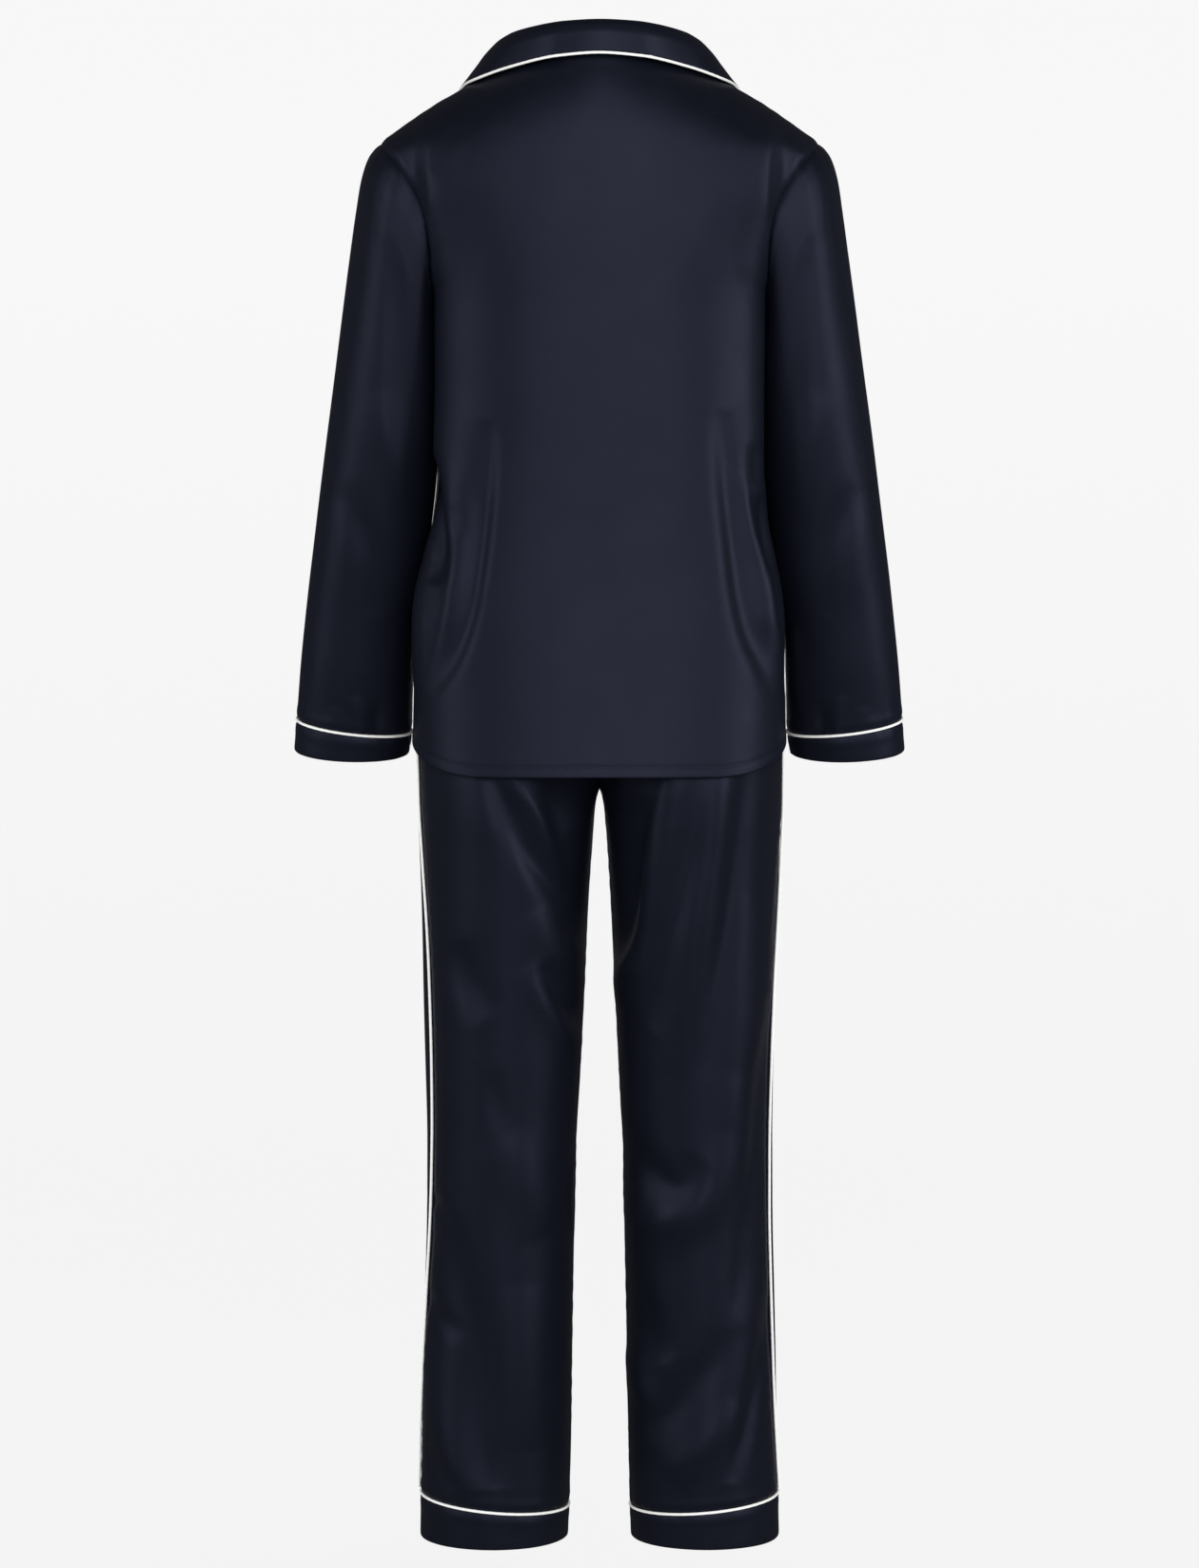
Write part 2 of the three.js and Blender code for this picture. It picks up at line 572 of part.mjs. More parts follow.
/** The back of the shirt, one piece from side seam to side seam and from hem to shoulders and neck. */
function makeShirtBack() {
  const half = BACK_STRIPS / 2;
  const rows = SHIRT_ROWS.map((row, i) => {
    const points = [];
    for (let j = 0; j <= BACK_STRIPS; j += 1) {
      const side = j <= half ? 1 : -1;
      const step = j <= half ? j : BACK_STRIPS - j;
      const start = radians(row.turn);
      const neckPlace = (turnFor(NECK_HALF, 0) - radians(SHIRT_ROWS.at(-1).turn))
        / (Math.PI / 2 - radians(SHIRT_ROWS.at(-1).turn));
      const place = placeAcross(step, half, neckPlace, i);
      const turn = lerp(start, Math.PI / 2, place);
      const topTurn = lerp(radians(SHIRT_ROWS.at(-1).turn), Math.PI / 2, place);
      points.push(shirtPoint(side, turn, rowHeight(i, turn, topPlace(topTurn)), 1));
    }
    return points;
  });
  return new Sheet(rows);
}

/** One front of the shirt, from its lapping edge and neckline out to the side seam, armhole and shoulder. */
function makeShirtFront(side) {
  const rows = SHIRT_ROWS.map((row, i) => {
    const last = SHIRT_ROWS.length - 1;
    const innerZ = row.mid;
    const innerX = innerZ > NECKLINE[0].z ? neckline(innerZ, 'x') : -FRONT_LAP;
    const innerTurn = i === last ? turnFor(NECK_HALF, 0) : turnFor(innerX, innerZ);
    const points = [];
    for (let j = 0; j <= FRONT_STRIPS; j += 1) {
      const place = j / FRONT_STRIPS;
      const turn = lerp(innerTurn, radians(row.turn), place);
      const topTurn = lerp(turnFor(NECK_HALF, 0), radians(SHIRT_ROWS.at(-1).turn), place);
      points.push(frontPoint(side, turn, rowHeight(i, Math.min(turn, Math.PI / 2), topPlace(topTurn))));
    }
    return points;
  });
  return new Sheet(rows, { flip: side < 0 });
}

/** The middle of a ring round an arm, and the way from there to its outer point. */
function ringAxes(ring) {
  const outer = new THREE.Vector3(ring.outerX, ring.midY, ring.outerZ);
  const inner = new THREE.Vector3(ring.innerX, ring.midY, ring.innerZ);
  return {
    middle: outer.clone().add(inner).multiplyScalar(0.5),
    reach: outer.clone().sub(inner).multiplyScalar(0.5),
  };
}

/** A ring round an arm: an ellipse through its outer and inner points, hung a little lower at the back. */
function ringPoint(side, ring, turn) {
  const { middle, reach } = ringAxes(ring);
  const back = new THREE.Vector3(0, ring.depth, -ring.drop);
  const point = middle.addScaledVector(reach, Math.cos(turn)).addScaledVector(back, Math.sin(turn));
  point.x *= side;
  return point;
}

/** One sleeve. Its first ring is the armhole, from the shoulder down the back and up the front again. */
function makeSleeve(side, armhole) {
  const first = SLEEVE_RINGS[0];
  const { middle, reach } = ringAxes(first);
  const count = armhole.length;
  const rings = [...SLEEVE_RINGS, CUFF_SEAM];
  const own = armhole.map(({ point }, j) => {
    const offset = new THREE.Vector3(side * point.x, point.y, point.z).sub(middle);
    const along = offset.dot(reach) / reach.lengthSq();
    const turn = Math.atan2(offset.y / first.depth, along);
    const full = j === 0 ? 0 : (turn + 2 * Math.PI) % (2 * Math.PI);
    return { turn: full, rest: point.clone().sub(ringPoint(side, first, full)) };
  });
  const rows = rings.map((ring, i) => {
    const blend = SLEEVE_BLEND[i] ?? { keeps: 0, even: 1 };
    return own.map(({ turn, rest }, j) => {
      const even = (2 * Math.PI * j) / count;
      return ringPoint(side, ring, lerp(turn, even, blend.even)).addScaledVector(rest, blend.keeps);
    });
  });
  return new Sheet(rows, { closed: true, flip: side > 0 });
}

/** A cuff: a plain band below the seam of the sleeve. */
function makeCuff(side, count) {
  const rows = [];
  for (let i = 0; i <= CUFF_STRIPS; i += 1) {
    const ring = {};
    for (const key of Object.keys(CUFF_SEAM)) {
      ring[key] = lerp(CUFF_SEAM[key], CUFF_END[key], i / CUFF_STRIPS);
    }
    rows.push(Array.from({ length: count }, (_, j) => ringPoint(side, ring, (2 * Math.PI * j) / count)));
  }
  return new Sheet(rows, { closed: true, flip: side > 0 });
}

/** The turn at which a leg's round section reaches the middle of the wearer, or its inner seam lower down. */
function innerTurn(z) {
  const centre = leg(z, 'centre');
  const half = leg(z, 'half');
  return z < CROTCH_Z || centre >= half ? Math.PI : Math.PI - Math.acos(centre / half);
}

/** A point of a trouser leg: an ellipse round its own middle, canted at the hem, with the folds laid on. */
function legPoint(side, turn, z, lift = 0) {
  const half = leg(z, 'half');
  const depth = leg(z, turn >= 0 ? 'back' : 'front');
  const x = leg(z, 'centre') + half * Math.cos(turn);
  const y = depth * Math.sin(turn);
  const outward = new THREE.Vector2(Math.cos(turn) / half, Math.sin(turn) / depth).normalize();
  const quiet = Math.abs(Math.sin(turn)) ** SEAM_CALM;
  const fold = quiet * foldHeight(LEG_FOLDS, Math.sign(turn) || 1, side * x, z) + lift;
  const height = z + leg(z, 'cant') * Math.cos(turn);
  return new THREE.Vector3(side * Math.max(x + fold * outward.x, 0), y + fold * outward.y, height);
}

/** One half of a trouser leg, behind (+1) or before (-1) its seams, from the waist to the hem band. */
function makeLegPanel(side, face) {
  const seamName = side > 0 ? 'left' : 'right';
  const rows = LEG_ROWS.map((z) => {
    const from = radians(outseam(z, seamName));
    const to = face * innerTurn(z);
    return Array.from({ length: LEG_STRIPS + 1 }, (_, j) => {
      const turn = lerp(from, to, j / LEG_STRIPS);
      const point = legPoint(side, turn, z);
      if (j === LEG_STRIPS && z > CROTCH_Z) point.x = 0;
      return point;
    });
  });
  return new Sheet(rows, { flip: side * face > 0 });
}

/** A closed ring of the trousers at one level, with the same steps as the leg panels. */
function legRing(side, z, lift = 0) {
  const start = radians(outseam(z, side > 0 ? 'left' : 'right'));
  const points = [];
  for (const face of [1, -1]) {
    for (let j = 0; j < LEG_STRIPS; j += 1) {
      const step = face > 0 ? j : LEG_STRIPS - j;
      points.push(legPoint(side, lerp(start, face * Math.PI, step / LEG_STRIPS), z, lift));
    }
  }
  return points;
}

/** The waistband: both halves of the section at the top of the legs, carried on upwards. */
function makeWaistband() {
  const rows = [LEG_ROWS[0], lerp(LEG_ROWS[0], WAISTBAND_TOP_Z, 0.5), WAISTBAND_TOP_Z].map((z) => {
    const points = [];
    for (const [side, face] of [[1, 1], [-1, 1], [-1, -1], [1, -1]]) {
      const inwards = side * face > 0;
      const start = radians(outseam(LEG_ROWS[0], side > 0 ? 'left' : 'right'));
      for (let j = 0; j < LEG_STRIPS; j += 1) {
        const step = inwards ? j : LEG_STRIPS - j;
        const point = legPoint(side, lerp(start, face * innerTurn(z), step / LEG_STRIPS), z);
        if (step === LEG_STRIPS) point.x = 0;
        points.push(point);
      }
    }
    return points;
  });
  return new Sheet(rows, { closed: true });
}

/** The neck seam under the collar: level round the back of the neck, then down the front's neckline. */
function neckSeam(at) {
  if (at < COLLAR_NECK_AT) {
    const x = Math.max(collarAt(at, 'seamX'), 0.01);
    return shirtPoint(1, turnFor(x, 0), 0, 1).add(new THREE.Vector3(0, 0, COLLAR_SEAM_LIFT));
  }
  const z = collarAt(at, 'seamZ');
  return onFront(1, neckline(z, 'x'), z, 0).add(new THREE.Vector3(0, 0, COLLAR_SEAM_LIFT));
}

/** A place on the collar: up from the neck seam to the roll, then down and out to the free edge. */
function collarPoint(along, place) {
  const at = Math.abs(along);
  const read = (name) => new THREE.Vector3(
    collarAt(at, `${name}X`), collarAt(at, `${name}Y`), collarAt(at, `${name}Z`));
  const roll = read('roll');
  const edge = read('edge');
  const point = neckSeam(at).lerp(roll, place.rise).lerp(edge, place.fall);
  const away = edge.clone().sub(roll).setZ(0).normalize();
  const quiet = 1 - smooth(at, COLLAR_FLATTENS_AT, 1);
  point.addScaledVector(away, place.out * quiet);
  const notch = Math.min(place.fall / COLLAR_NOTCH, (1 - place.fall) / (1 - COLLAR_NOTCH));
  point.z -= collarAt(at, 'dip') * notch;
  if (at > COLLAR_NECK_AT && place.fall > 0) {
    point.y = Math.min(point.y, onFront(1, point.x, point.z, COLLAR_CLOTH + LAPEL_LIFT).y);
  }
  point.x *= Math.sign(along) || 1;
  return point;
}

function makeCollar() {
  const rows = COLLAR_SECTION.map((place) => {
    const points = [];
    for (let k = -COLLAR_STATIONS; k <= COLLAR_STATIONS; k += 1) {
      points.push(collarPoint(k / COLLAR_STATIONS, place));
    }
    return points;
  });
  return new Sheet(rows, { flip: true });
}

/** A place on the outside of a front, lifted off it. */
function onFront(side, x, z, lift) {
  const turn = turnFor(x, z);
  const point = frontPoint(side, turn, z);
  const across = frontPoint(side, turn + TURN_STEP, z).sub(point);
  const along = frontPoint(side, turnFor(x, z + HEIGHT_STEP), z + HEIGHT_STEP).sub(point);
  const outward = across.cross(along).normalize();
  if (outward.y > 0) outward.negate();
  return point.addScaledVector(outward, lift);
}

/** One lapel, lying on its front: from the roll along the neckline out to its free edge. */
function makeLapel(side) {
  const rows = (side < 0 ? LAPEL_ROWS : LAPEL_ROWS.slice(1)).map((row) => {
    const rollX = neckline(row.rollZ, 'x') + LAPEL_FROM_EDGE;
    return Array.from({ length: LAPEL_STRIPS + 1 }, (_, j) => {
      const place = j / LAPEL_STRIPS;
      const x = lerp(rollX, row.edgeX, place);
      const z = lerp(row.rollZ, row.edgeZ, place);
      return onFront(side, x, z, CLOTH + LAPEL_LIFT);
    });
  });
  return new Sheet(rows, { flip: side < 0 });
}

const back = makeShirtBack();
const fronts = { left: makeShirtFront(1), right: makeShirtFront(-1) };
const sides = [['left', 1], ['right', -1]];

const sewnPart = (edge, from, to) => edge.slice(from, to + 1);
const topRow = SHIRT_ROWS.length - 1;

for (const [name, side] of sides) {
  const front = fronts[name];
  const backSide = back.edge(side > 0 ? 'start' : 'end');
  const frontSide = front.edge('end');
  const backTop = side > 0 ? back.edge('top') : back.edge('top').reverse();
  const shoulderBack = sewnPart(backTop, 0, NECK_STRIP);
  const shoulderFront = front.edge('top').reverse();
  for (const edge of [shoulderBack, shoulderFront]) faceUp(edge);
  const armhole = [
    ...sewnPart(backSide, ARMPIT_ROW, topRow).reverse(),
    ...sewnPart(frontSide, ARMPIT_ROW + 1, topRow - 1),
  ];
  const sleeve = makeSleeve(side, armhole);
  const cuff = makeCuff(side, armhole.length);
  sew(armhole, sleeve.edge('bottom'));
  sew(sewnPart(backSide, 0, ARMPIT_ROW), sewnPart(frontSide, 0, ARMPIT_ROW));
  for (const { point } of shoulderBack) point.y += SEAM_GAP / 2;
  for (const { point } of shoulderFront) point.y -= SEAM_GAP / 2;
  trim(sleeve.edge('top'), PIPING / 2 + SEAM_GAP);
  trim(cuff.edge('bottom'), PIPING / 2 + SEAM_GAP);
  add(`shirt_front_${name}`, wallGeometry(front, CLOTH), COLOURS.shirt);
  add(`sleeve_${name}`, wallGeometry(sleeve, CLOTH), COLOURS.shirt);
  add(`cuff_${name}`, wallGeometry(cuff, CLOTH), COLOURS.shirt);
  add(`lapel_${name}`, wallGeometry(makeLapel(side), CLOTH), COLOURS.shirt);
  const cuffRing = armhole.map((_, j) => ringPoint(side, CUFF_SEAM, (2 * Math.PI * j) / armhole.length));
  addPiping(`cuff_piping_${name}`, cuffRing, true);
}
add('shirt_back', wallGeometry(back, CLOTH), COLOURS.shirt);
add('collar', wallGeometry(makeCollar(), COLLAR_CLOTH), COLOURS.shirt);

const collarEdge = [];
for (let k = -COLLAR_STATIONS; k <= COLLAR_STATIONS; k += 1) {
  const edge = collarPoint(k / COLLAR_STATIONS, COLLAR_SECTION.at(-1));
  const inside = collarPoint(k / COLLAR_STATIONS, COLLAR_SECTION.at(-2));
  collarEdge.push(edge.clone().add(edge.clone().sub(inside).setLength(PIPING / 2 + PIPING_GAP)));
}
addPiping('collar_piping', collarEdge);

const panels = {};
for (const [name, side] of sides) {
  panels[name] = { back: makeLegPanel(side, 1), front: makeLegPanel(side, -1) };
}
for (const [name] of sides) {
  const { back: behind, front: before } = panels[name];
  sew(behind.edge('start'), before.edge('start'));
  const inseams = [behind, before].map((panel) => sewnPart(panel.edge('end'), CROTCH_ROW, LEG_ROWS.length));
  sew(...inseams);
}
for (const face of ['back', 'front']) {
  const middleSeams = sides.map(([name]) => sewnPart(panels[name][face].edge('end'), 0, CROTCH_ROW));
  sew(...middleSeams);
}
for (const [name, side] of sides) {
  for (const face of ['back', 'front']) {
    const panel = panels[name][face];
    trim(panel.edge('bottom'), SEAM_GAP / 2);
    trim(panel.edge('top'), PIPING / 2 + SEAM_GAP);
    add(`trouser_${face}_${name}`, wallGeometry(panel, CLOTH), COLOURS.trousers);
  }
  const bandRows = [LEG_SEAM_Z, LEG_END_Z].map((z) => legRing(side, z));
  const band = new Sheet(bandRows, { closed: true, flip: side > 0 });
  trim(band.edge('bottom'), PIPING / 2 + SEAM_GAP);
  add(`leg_hem_${name}`, wallGeometry(band, CLOTH), COLOURS.trousers);
  addPiping(`leg_hem_piping_${name}`, legRing(side, LEG_SEAM_Z), true);
  const levels = [...LEG_ROWS.slice(0, -1), LEG_SEAM_Z + PIPING];
  const seam = levels.map((z) => legPoint(side, radians(outseam(z, name)), z, PIPING / 2 + PIPING_GAP));
  addPiping(`side_piping_${name}`, seam);
}
const waistband = makeWaistband();
trim(waistband.edge('bottom'), SEAM_GAP / 2);
add('waistband', wallGeometry(waistband, CLOTH), COLOURS.trousers);

const buttonOutline = BUTTON_SECTION.map(
  ({ out, up }) => new THREE.Vector2(out * BUTTON_RADIUS, up * BUTTON_HEIGHT));
for (let k = 0; k < BUTTON_COUNT; k += 1) {
  const seat = onFront(-1, 0.01, BUTTON_TOP_Z - k * BUTTON_PITCH, SEAM_GAP);
  const shape = new THREE.LatheGeometry(buttonOutline, BUTTON_STRIPS);
  const button = add(`button_${k + 1}`, shape, COLOURS.button);
  button.rotation.x = Math.PI;
  button.position.copy(seat);
}

export default group;
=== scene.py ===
# %% [markdown]
# A pyjama set of navy satin with white piping, shown from behind and filled out as if it were worn. The solid
# model of it is loaded first and stays where it is. Every cloth piece is then made again as a finer shell on
# the same form, with its creases, seams and stitches. Lengths in the tables are millimetres, and the wearer
# faces -Y.

import math

import bpy
import numpy as np
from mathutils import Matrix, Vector


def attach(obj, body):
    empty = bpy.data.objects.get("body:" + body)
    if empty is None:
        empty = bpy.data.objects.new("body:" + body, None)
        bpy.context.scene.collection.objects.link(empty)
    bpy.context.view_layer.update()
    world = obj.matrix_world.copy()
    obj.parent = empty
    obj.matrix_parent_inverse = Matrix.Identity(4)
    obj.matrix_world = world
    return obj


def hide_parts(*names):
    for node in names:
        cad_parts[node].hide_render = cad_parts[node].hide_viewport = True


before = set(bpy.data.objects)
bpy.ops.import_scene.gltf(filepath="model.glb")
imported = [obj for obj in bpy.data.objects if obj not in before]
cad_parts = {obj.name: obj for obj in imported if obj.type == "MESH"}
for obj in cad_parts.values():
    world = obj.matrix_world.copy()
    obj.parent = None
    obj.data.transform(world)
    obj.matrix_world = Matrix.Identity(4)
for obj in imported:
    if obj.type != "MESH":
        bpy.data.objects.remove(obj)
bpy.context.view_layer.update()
MM = 0.001
print("frame loaded with", len(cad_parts), "nodes")

# %% [markdown]
# The camera stands 4.6 m behind the wearer, a little above the middle of the set, and looks 3.5 degrees down.
# That is a long lens seen from far away, which keeps the sleeves and the legs nearly parallel, as in the
# picture. The lens is worked out from the picture's height, so that one pixel is 0.88 mm at the wearer.

# %% Camera
PICTURE = (1260, 1648)
DISTANCE = 4.6
TILT = math.radians(3.5)
MM_PER_PIXEL = 0.884
SENSOR = 24
aim = Vector((0, 0, -0.668))

lens = bpy.data.cameras.new("camera")
lens.sensor_fit = "VERTICAL"
lens.sensor_height = SENSOR
lens.lens = SENSOR * DISTANCE / (PICTURE[1] * MM_PER_PIXEL * MM)
camera = bpy.data.objects.new("camera", lens)
bpy.context.collection.objects.link(camera)
camera.location = aim + DISTANCE * Vector((0, math.cos(TILT), math.sin(TILT)))
camera.rotation_euler = (math.radians(90) - TILT, 0, math.pi)
bpy.context.scene.camera = camera
print("lens", round(lens.lens, 2), "mm at", tuple(round(v, 3) for v in camera.location))

# %% [markdown]
# The garment is drawn from tables of sizes, as a pattern cutter's are. A table has named columns, and a value
# between two rows comes from a cubic that never overshoots them, so a smooth body comes from few numbers.

# %% Tables and their smooth reading
def table(names, rows):
    """The rows of numbers as one array for each named column."""
    return dict(zip(names.split(), np.array(rows, float).T))


def read(rows, key, name, at):
    """A cubic through the rows. A row's slope is the harmonic mean of the slopes beside it, or none at a peak."""
    order = np.argsort(rows[key])
    x, y = rows[key][order], rows[name][order]
    rise = np.diff(y) / np.diff(x)
    before, after = rise[:-1], rise[1:]
    same = before * after > 0
    mean = 2 * before * after / np.where(same, before + after, 1)
    slope = np.concatenate([rise[:1], np.where(same, mean, 0), rise[-1:]])
    at = np.clip(at, x[0], x[-1])
    i = np.clip(np.searchsorted(x, at, side="right") - 1, 0, len(x) - 2)
    span = x[i + 1] - x[i]
    t = (at - x[i]) / span
    start = (2 * t**3 - 3 * t**2 + 1) * y[i] + (t**3 - 2 * t**2 + t) * span * slope[i]
    return start + (3 * t**2 - 2 * t**3) * y[i + 1] + (t**3 - t**2) * span * slope[i + 1]


def smooth(at, low, high):
    """0 below low, 1 above high, and 3t^2 - 2t^3 between them."""
    t = np.clip((at - low) / (high - low), 0, 1)
    return t * t * (3 - 2 * t)


def mix(a, b, share):
    return a + (b - a) * share


# %% [markdown]
# A crease in satin is a soft bank or trough with rounded ends. Each row of a crease table gives the places it
# runs through, in the plane that is seen, its half width, its height, and how far it leans: a bank that leans
# is crisp on one side. They are set one by one, uneven in length, depth and spacing, because evenly spaced folds
# look like corrugated card.

# %% Creases
BACK, FRONT = 1, -1
CREASE_POINTS = 24
CREASE_REACH = 3.2


def crease(face, width, height, *places, lean=0.0):
    x, z = np.array(places, float).T
    t = np.linspace(0, len(x) - 1, CREASE_POINTS)
    step = {"at": np.arange(len(x)), "x": x, "z": z}
    way = np.stack([read(step, "at", "x", t), read(step, "at", "z", t)], axis=1)
    return {"face": face, "width": width, "height": height, "way": way, "lean": lean}


def crease_height(rows, face, x, z):
    """The sum over the creases of height * exp(-(gap / width)^2) * sin(pi * along)^0.7. The gap is to the
    crease's way on the face as it is seen, and the width is less by the lean on the way's left side."""
    x, z = np.broadcast_arrays(x, z)
    total = np.zeros(x.shape)
    for row in rows:
        way = row["way"]
        reach = CREASE_REACH * row["width"]
        near = (x > way[:, 0].min() - reach) & (x < way[:, 0].max() + reach)
        near &= (z > way[:, 1].min() - reach) & (z < way[:, 1].max() + reach)
        if row["face"] != face or not near.any():
            continue
        px, pz = x[near], z[near]
        best = np.full(px.shape, np.inf)
        side, along = np.zeros(px.shape), np.zeros(px.shape)
        for k in range(CREASE_POINTS - 1):
            line = way[k + 1] - way[k]
            dx, dz = px - way[k, 0], pz - way[k, 1]
            part = np.clip((dx * line[0] + dz * line[1]) / (line @ line), 0, 1)
            gap = np.hypot(dx - part * line[0], dz - part * line[1])
            nearer = gap < best
            best = np.where(nearer, gap, best)
            side = np.where(nearer, np.sign(line[0] * dz - line[1] * dx), side)
            along = np.where(nearer, (k + part) / (CREASE_POINTS - 1), along)
        width = row["width"] * (1 - row["lean"] * side)
        ends = np.sin(np.pi * np.clip(along, 0.001, 0.999)) ** 0.7
        total[near] += row["height"] * np.exp(-((best / width) ** 2)) * ends
    return total


# %% [markdown]
# Cloth lies in a thin wall between two faces. A grid of points gives the outer face, and the inner face is one
# thickness in, along the grid's own directions. Toward a seam the cloth dips into the stitches and swells just
# before them, and it puckers a little along them, which is what makes a seam look sewn.

# %% Cloth walls
CLOTH = 1.2


def directions(grid, closed):
    """The unit direction across both of the grid's ways at each point."""
    if closed:
        across = np.roll(grid, -1, axis=1) - np.roll(grid, 1, axis=1)
    else:
        across = np.gradient(grid, axis=1)
    along = np.gradient(grid, axis=0)
    normal = np.cross(across, along)
    normal /= np.maximum(np.linalg.norm(normal, axis=2, keepdims=True), 1e-9)
    return normal


def outward(grid, closed):
    """The directions, turned so that on the whole they point away from the middle of the points."""
    normal = directions(grid, closed)
    away = grid - grid.reshape(-1, 3).mean(axis=0)
    return normal * np.sign((normal * away).sum())


def lengths(grid, axis):
    """The way along one axis of the grid, in millimetres, from its first point."""
    steps = np.linalg.norm(np.diff(grid, axis=axis), axis=2)
    first = np.zeros_like(np.take(steps, [0], axis=axis))
    return np.concatenate([first, np.cumsum(steps, axis=axis)], axis=axis)


def seam_relief(grid, closed, seams, seed):
    """The height beside the sewn edges: a dip in the last 3 mm, a swelling at 7 mm, and puckers that fade over
    25 mm. seams names the sewn edges out of start, end, bottom and top."""
    wide, tall = lengths(grid, 1), lengths(grid, 0)
    gaps = {"start": wide, "end": wide[:, -1:] - wide, "bottom": tall, "top": tall[-1:] - tall}
    height = np.zeros(grid.shape[:2])
    for k, name in enumerate(seams):
        gap = gaps[name]
        way = tall if name in ("start", "end") else wide
        turn = seed + 1.7 * k
        pucker = np.sin(way / 3.1 + turn + 1.3 * np.sin(way / 17 + turn)) * np.sin(way / 41 + 2 * turn) ** 2
        height += -0.7 * np.exp(-((gap / 2.4) ** 2)) + 0.35 * np.exp(-(((gap - 7) / 4) ** 2))
        height += 0.35 * pucker * np.exp(-gap / 12)
    return height


def ripple(grid, seed, height):
    """A slight unevenness of hanging cloth: four long waves that cross each other."""
    x, y, z = grid[..., 0], grid[..., 1], grid[..., 2]
    waves = np.sin(x / 23 + z / 97 + seed) + 0.8 * np.sin(y / 19 - z / 61 + 2.1 * seed)
    waves += 0.7 * np.sin(x / 41 - z / 37 + 3.3 * seed) + 0.5 * np.sin((x + y) / 13 + z / 29 + 0.7 * seed)
    return height * waves / 3


def wall_faces(rows, columns, closed):
    """The four-sided faces of a wall: its outer face, its inner face turned round, and its rims."""
    index = np.arange(rows * columns).reshape(rows, columns)
    inner = index + rows * columns
    if closed:
        index, inner = (np.concatenate([a, a[:, :1]], axis=1) for a in (index, inner))
    outer_faces = [index[:-1, :-1], index[:-1, 1:], index[1:, 1:], index[1:, :-1]]
    inner_faces = [inner[:-1, :-1], inner[1:, :-1], inner[1:, 1:], inner[:-1, 1:]]
    sets = [outer_faces, inner_faces]
    sets.append([inner[0, :-1], inner[0, 1:], index[0, 1:], index[0, :-1]])
    sets.append([index[-1, :-1], index[-1, 1:], inner[-1, 1:], inner[-1, :-1]])
    if not closed:
        sets.append([inner[:-1, 0], index[:-1, 0], index[1:, 0], inner[1:, 0]])
        sets.append([index[:-1, -1], inner[:-1, -1], inner[1:, -1], index[1:, -1]])
    return np.concatenate([np.stack([corner.ravel() for corner in s], axis=1) for s in sets])


def volume(points, faces):
    """The volume inside a closed mesh of four-sided faces, below zero where they are inside out."""
    a, b, c, d = (points[faces[:, k]] for k in range(4))
    return (np.cross(a, b) * c).sum() + (np.cross(a, c) * d).sum()


def make_mesh(name, points, faces, uvs=None, material=None):
    """A smooth mesh object from points in millimetres, with its faces turned outwards."""
    points = np.asarray(points, float).reshape(-1, 3)
    faces = np.asarray(faces)
    if volume(points, faces) < 0:
        faces = faces[:, ::-1]
    mesh = bpy.data.meshes.new(name)
    mesh.vertices.add(len(points))
    mesh.vertices.foreach_set("co", (points * MM).ravel())
    mesh.loops.add(faces.size)
    mesh.loops.foreach_set("vertex_index", faces.ravel())
    mesh.polygons.add(len(faces))
    mesh.polygons.foreach_set("loop_start", np.arange(len(faces)) * faces.shape[1])
    mesh.polygons.foreach_set("use_smooth", np.ones(len(faces), bool))
    if uvs is not None:
        layer = mesh.uv_layers.new(name="grain")
        layer.data.foreach_set("uv", (uvs.reshape(-1, 2)[faces.ravel()] * MM).ravel())
    mesh.update(calc_edges=True)
    mesh.validate()
    piece = bpy.data.objects.new(name, mesh)
    bpy.context.collection.objects.link(piece)
    if material:
        mesh.materials.append(material)
    return piece


def make_wall(name, grid, material, thickness=CLOTH, closed=False, seams=(), seed=1.0, uneven=0.5, out=None,
              calm=1.0):
    """A closed cloth wall on a grid of points: the seam relief and the ripple move the grid along its own
    directions, and the inner face follows one thickness in. Its map lays the cloth flat, in metres. calm is
    the share of both that is kept at each point."""
    normal = outward(grid, closed) if out is None else directions(grid, closed) * out
    relief = calm * (seam_relief(grid, closed, seams, seed) + ripple(grid, seed, uneven))
    grid = grid + normal * relief[..., None]
    normal = outward(grid, closed) if out is None else directions(grid, closed) * out
    rows, columns = grid.shape[:2]
    points = np.concatenate([grid.reshape(-1, 3), (grid - normal * thickness).reshape(-1, 3)])
    flat = np.stack([lengths(grid, 1), lengths(grid, 0)], axis=2)
    piece = make_mesh(name, points, wall_faces(rows, columns, closed), np.concatenate([flat, flat]), material)
    return piece, grid, normal


def settle(piece, node):
    """Puts a finished piece on the garment's one body, in the place of its solid."""
    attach(piece, "root")
    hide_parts(node)


def closer(count, near):
    """Places from 0 to 1 that lie closer together at the ends: t - near * sin(2 pi t) / (2 pi)."""
    t = np.linspace(0, 1, count)
    return t - near * np.sin(2 * np.pi * t) / (2 * np.pi)


# %% [markdown]
# Satin is woven so that most threads float on its face. This one is polyester dyed a very dark navy: nearly
# black where it turns away, with a broad dull shine where it faces the light. The shine is blue as well,
# because it comes from inside the dyed threads. The real threads, about 0.1 mm apart, are too fine to show, so
# the weave is drawn 0.9 mm apart. Piping is the same cloth in white round a cord, and the buttons are moulded
# navy plastic with a hard shine.

# %% Materials
def linear(code):
    """A colour written as in a paint chart (sRGB) turned to linear light."""
    parts = [int(code[k : k + 2], 16) / 255 for k in (1, 3, 5)]
    return [v / 12.92 if v <= 0.04045 else ((v + 0.055) / 1.055) ** 2.4 for v in parts] + [1]


def new_material(name):
    material = bpy.data.materials.new(name)
    material.use_nodes = True
    material.node_tree.nodes.clear()
    return material


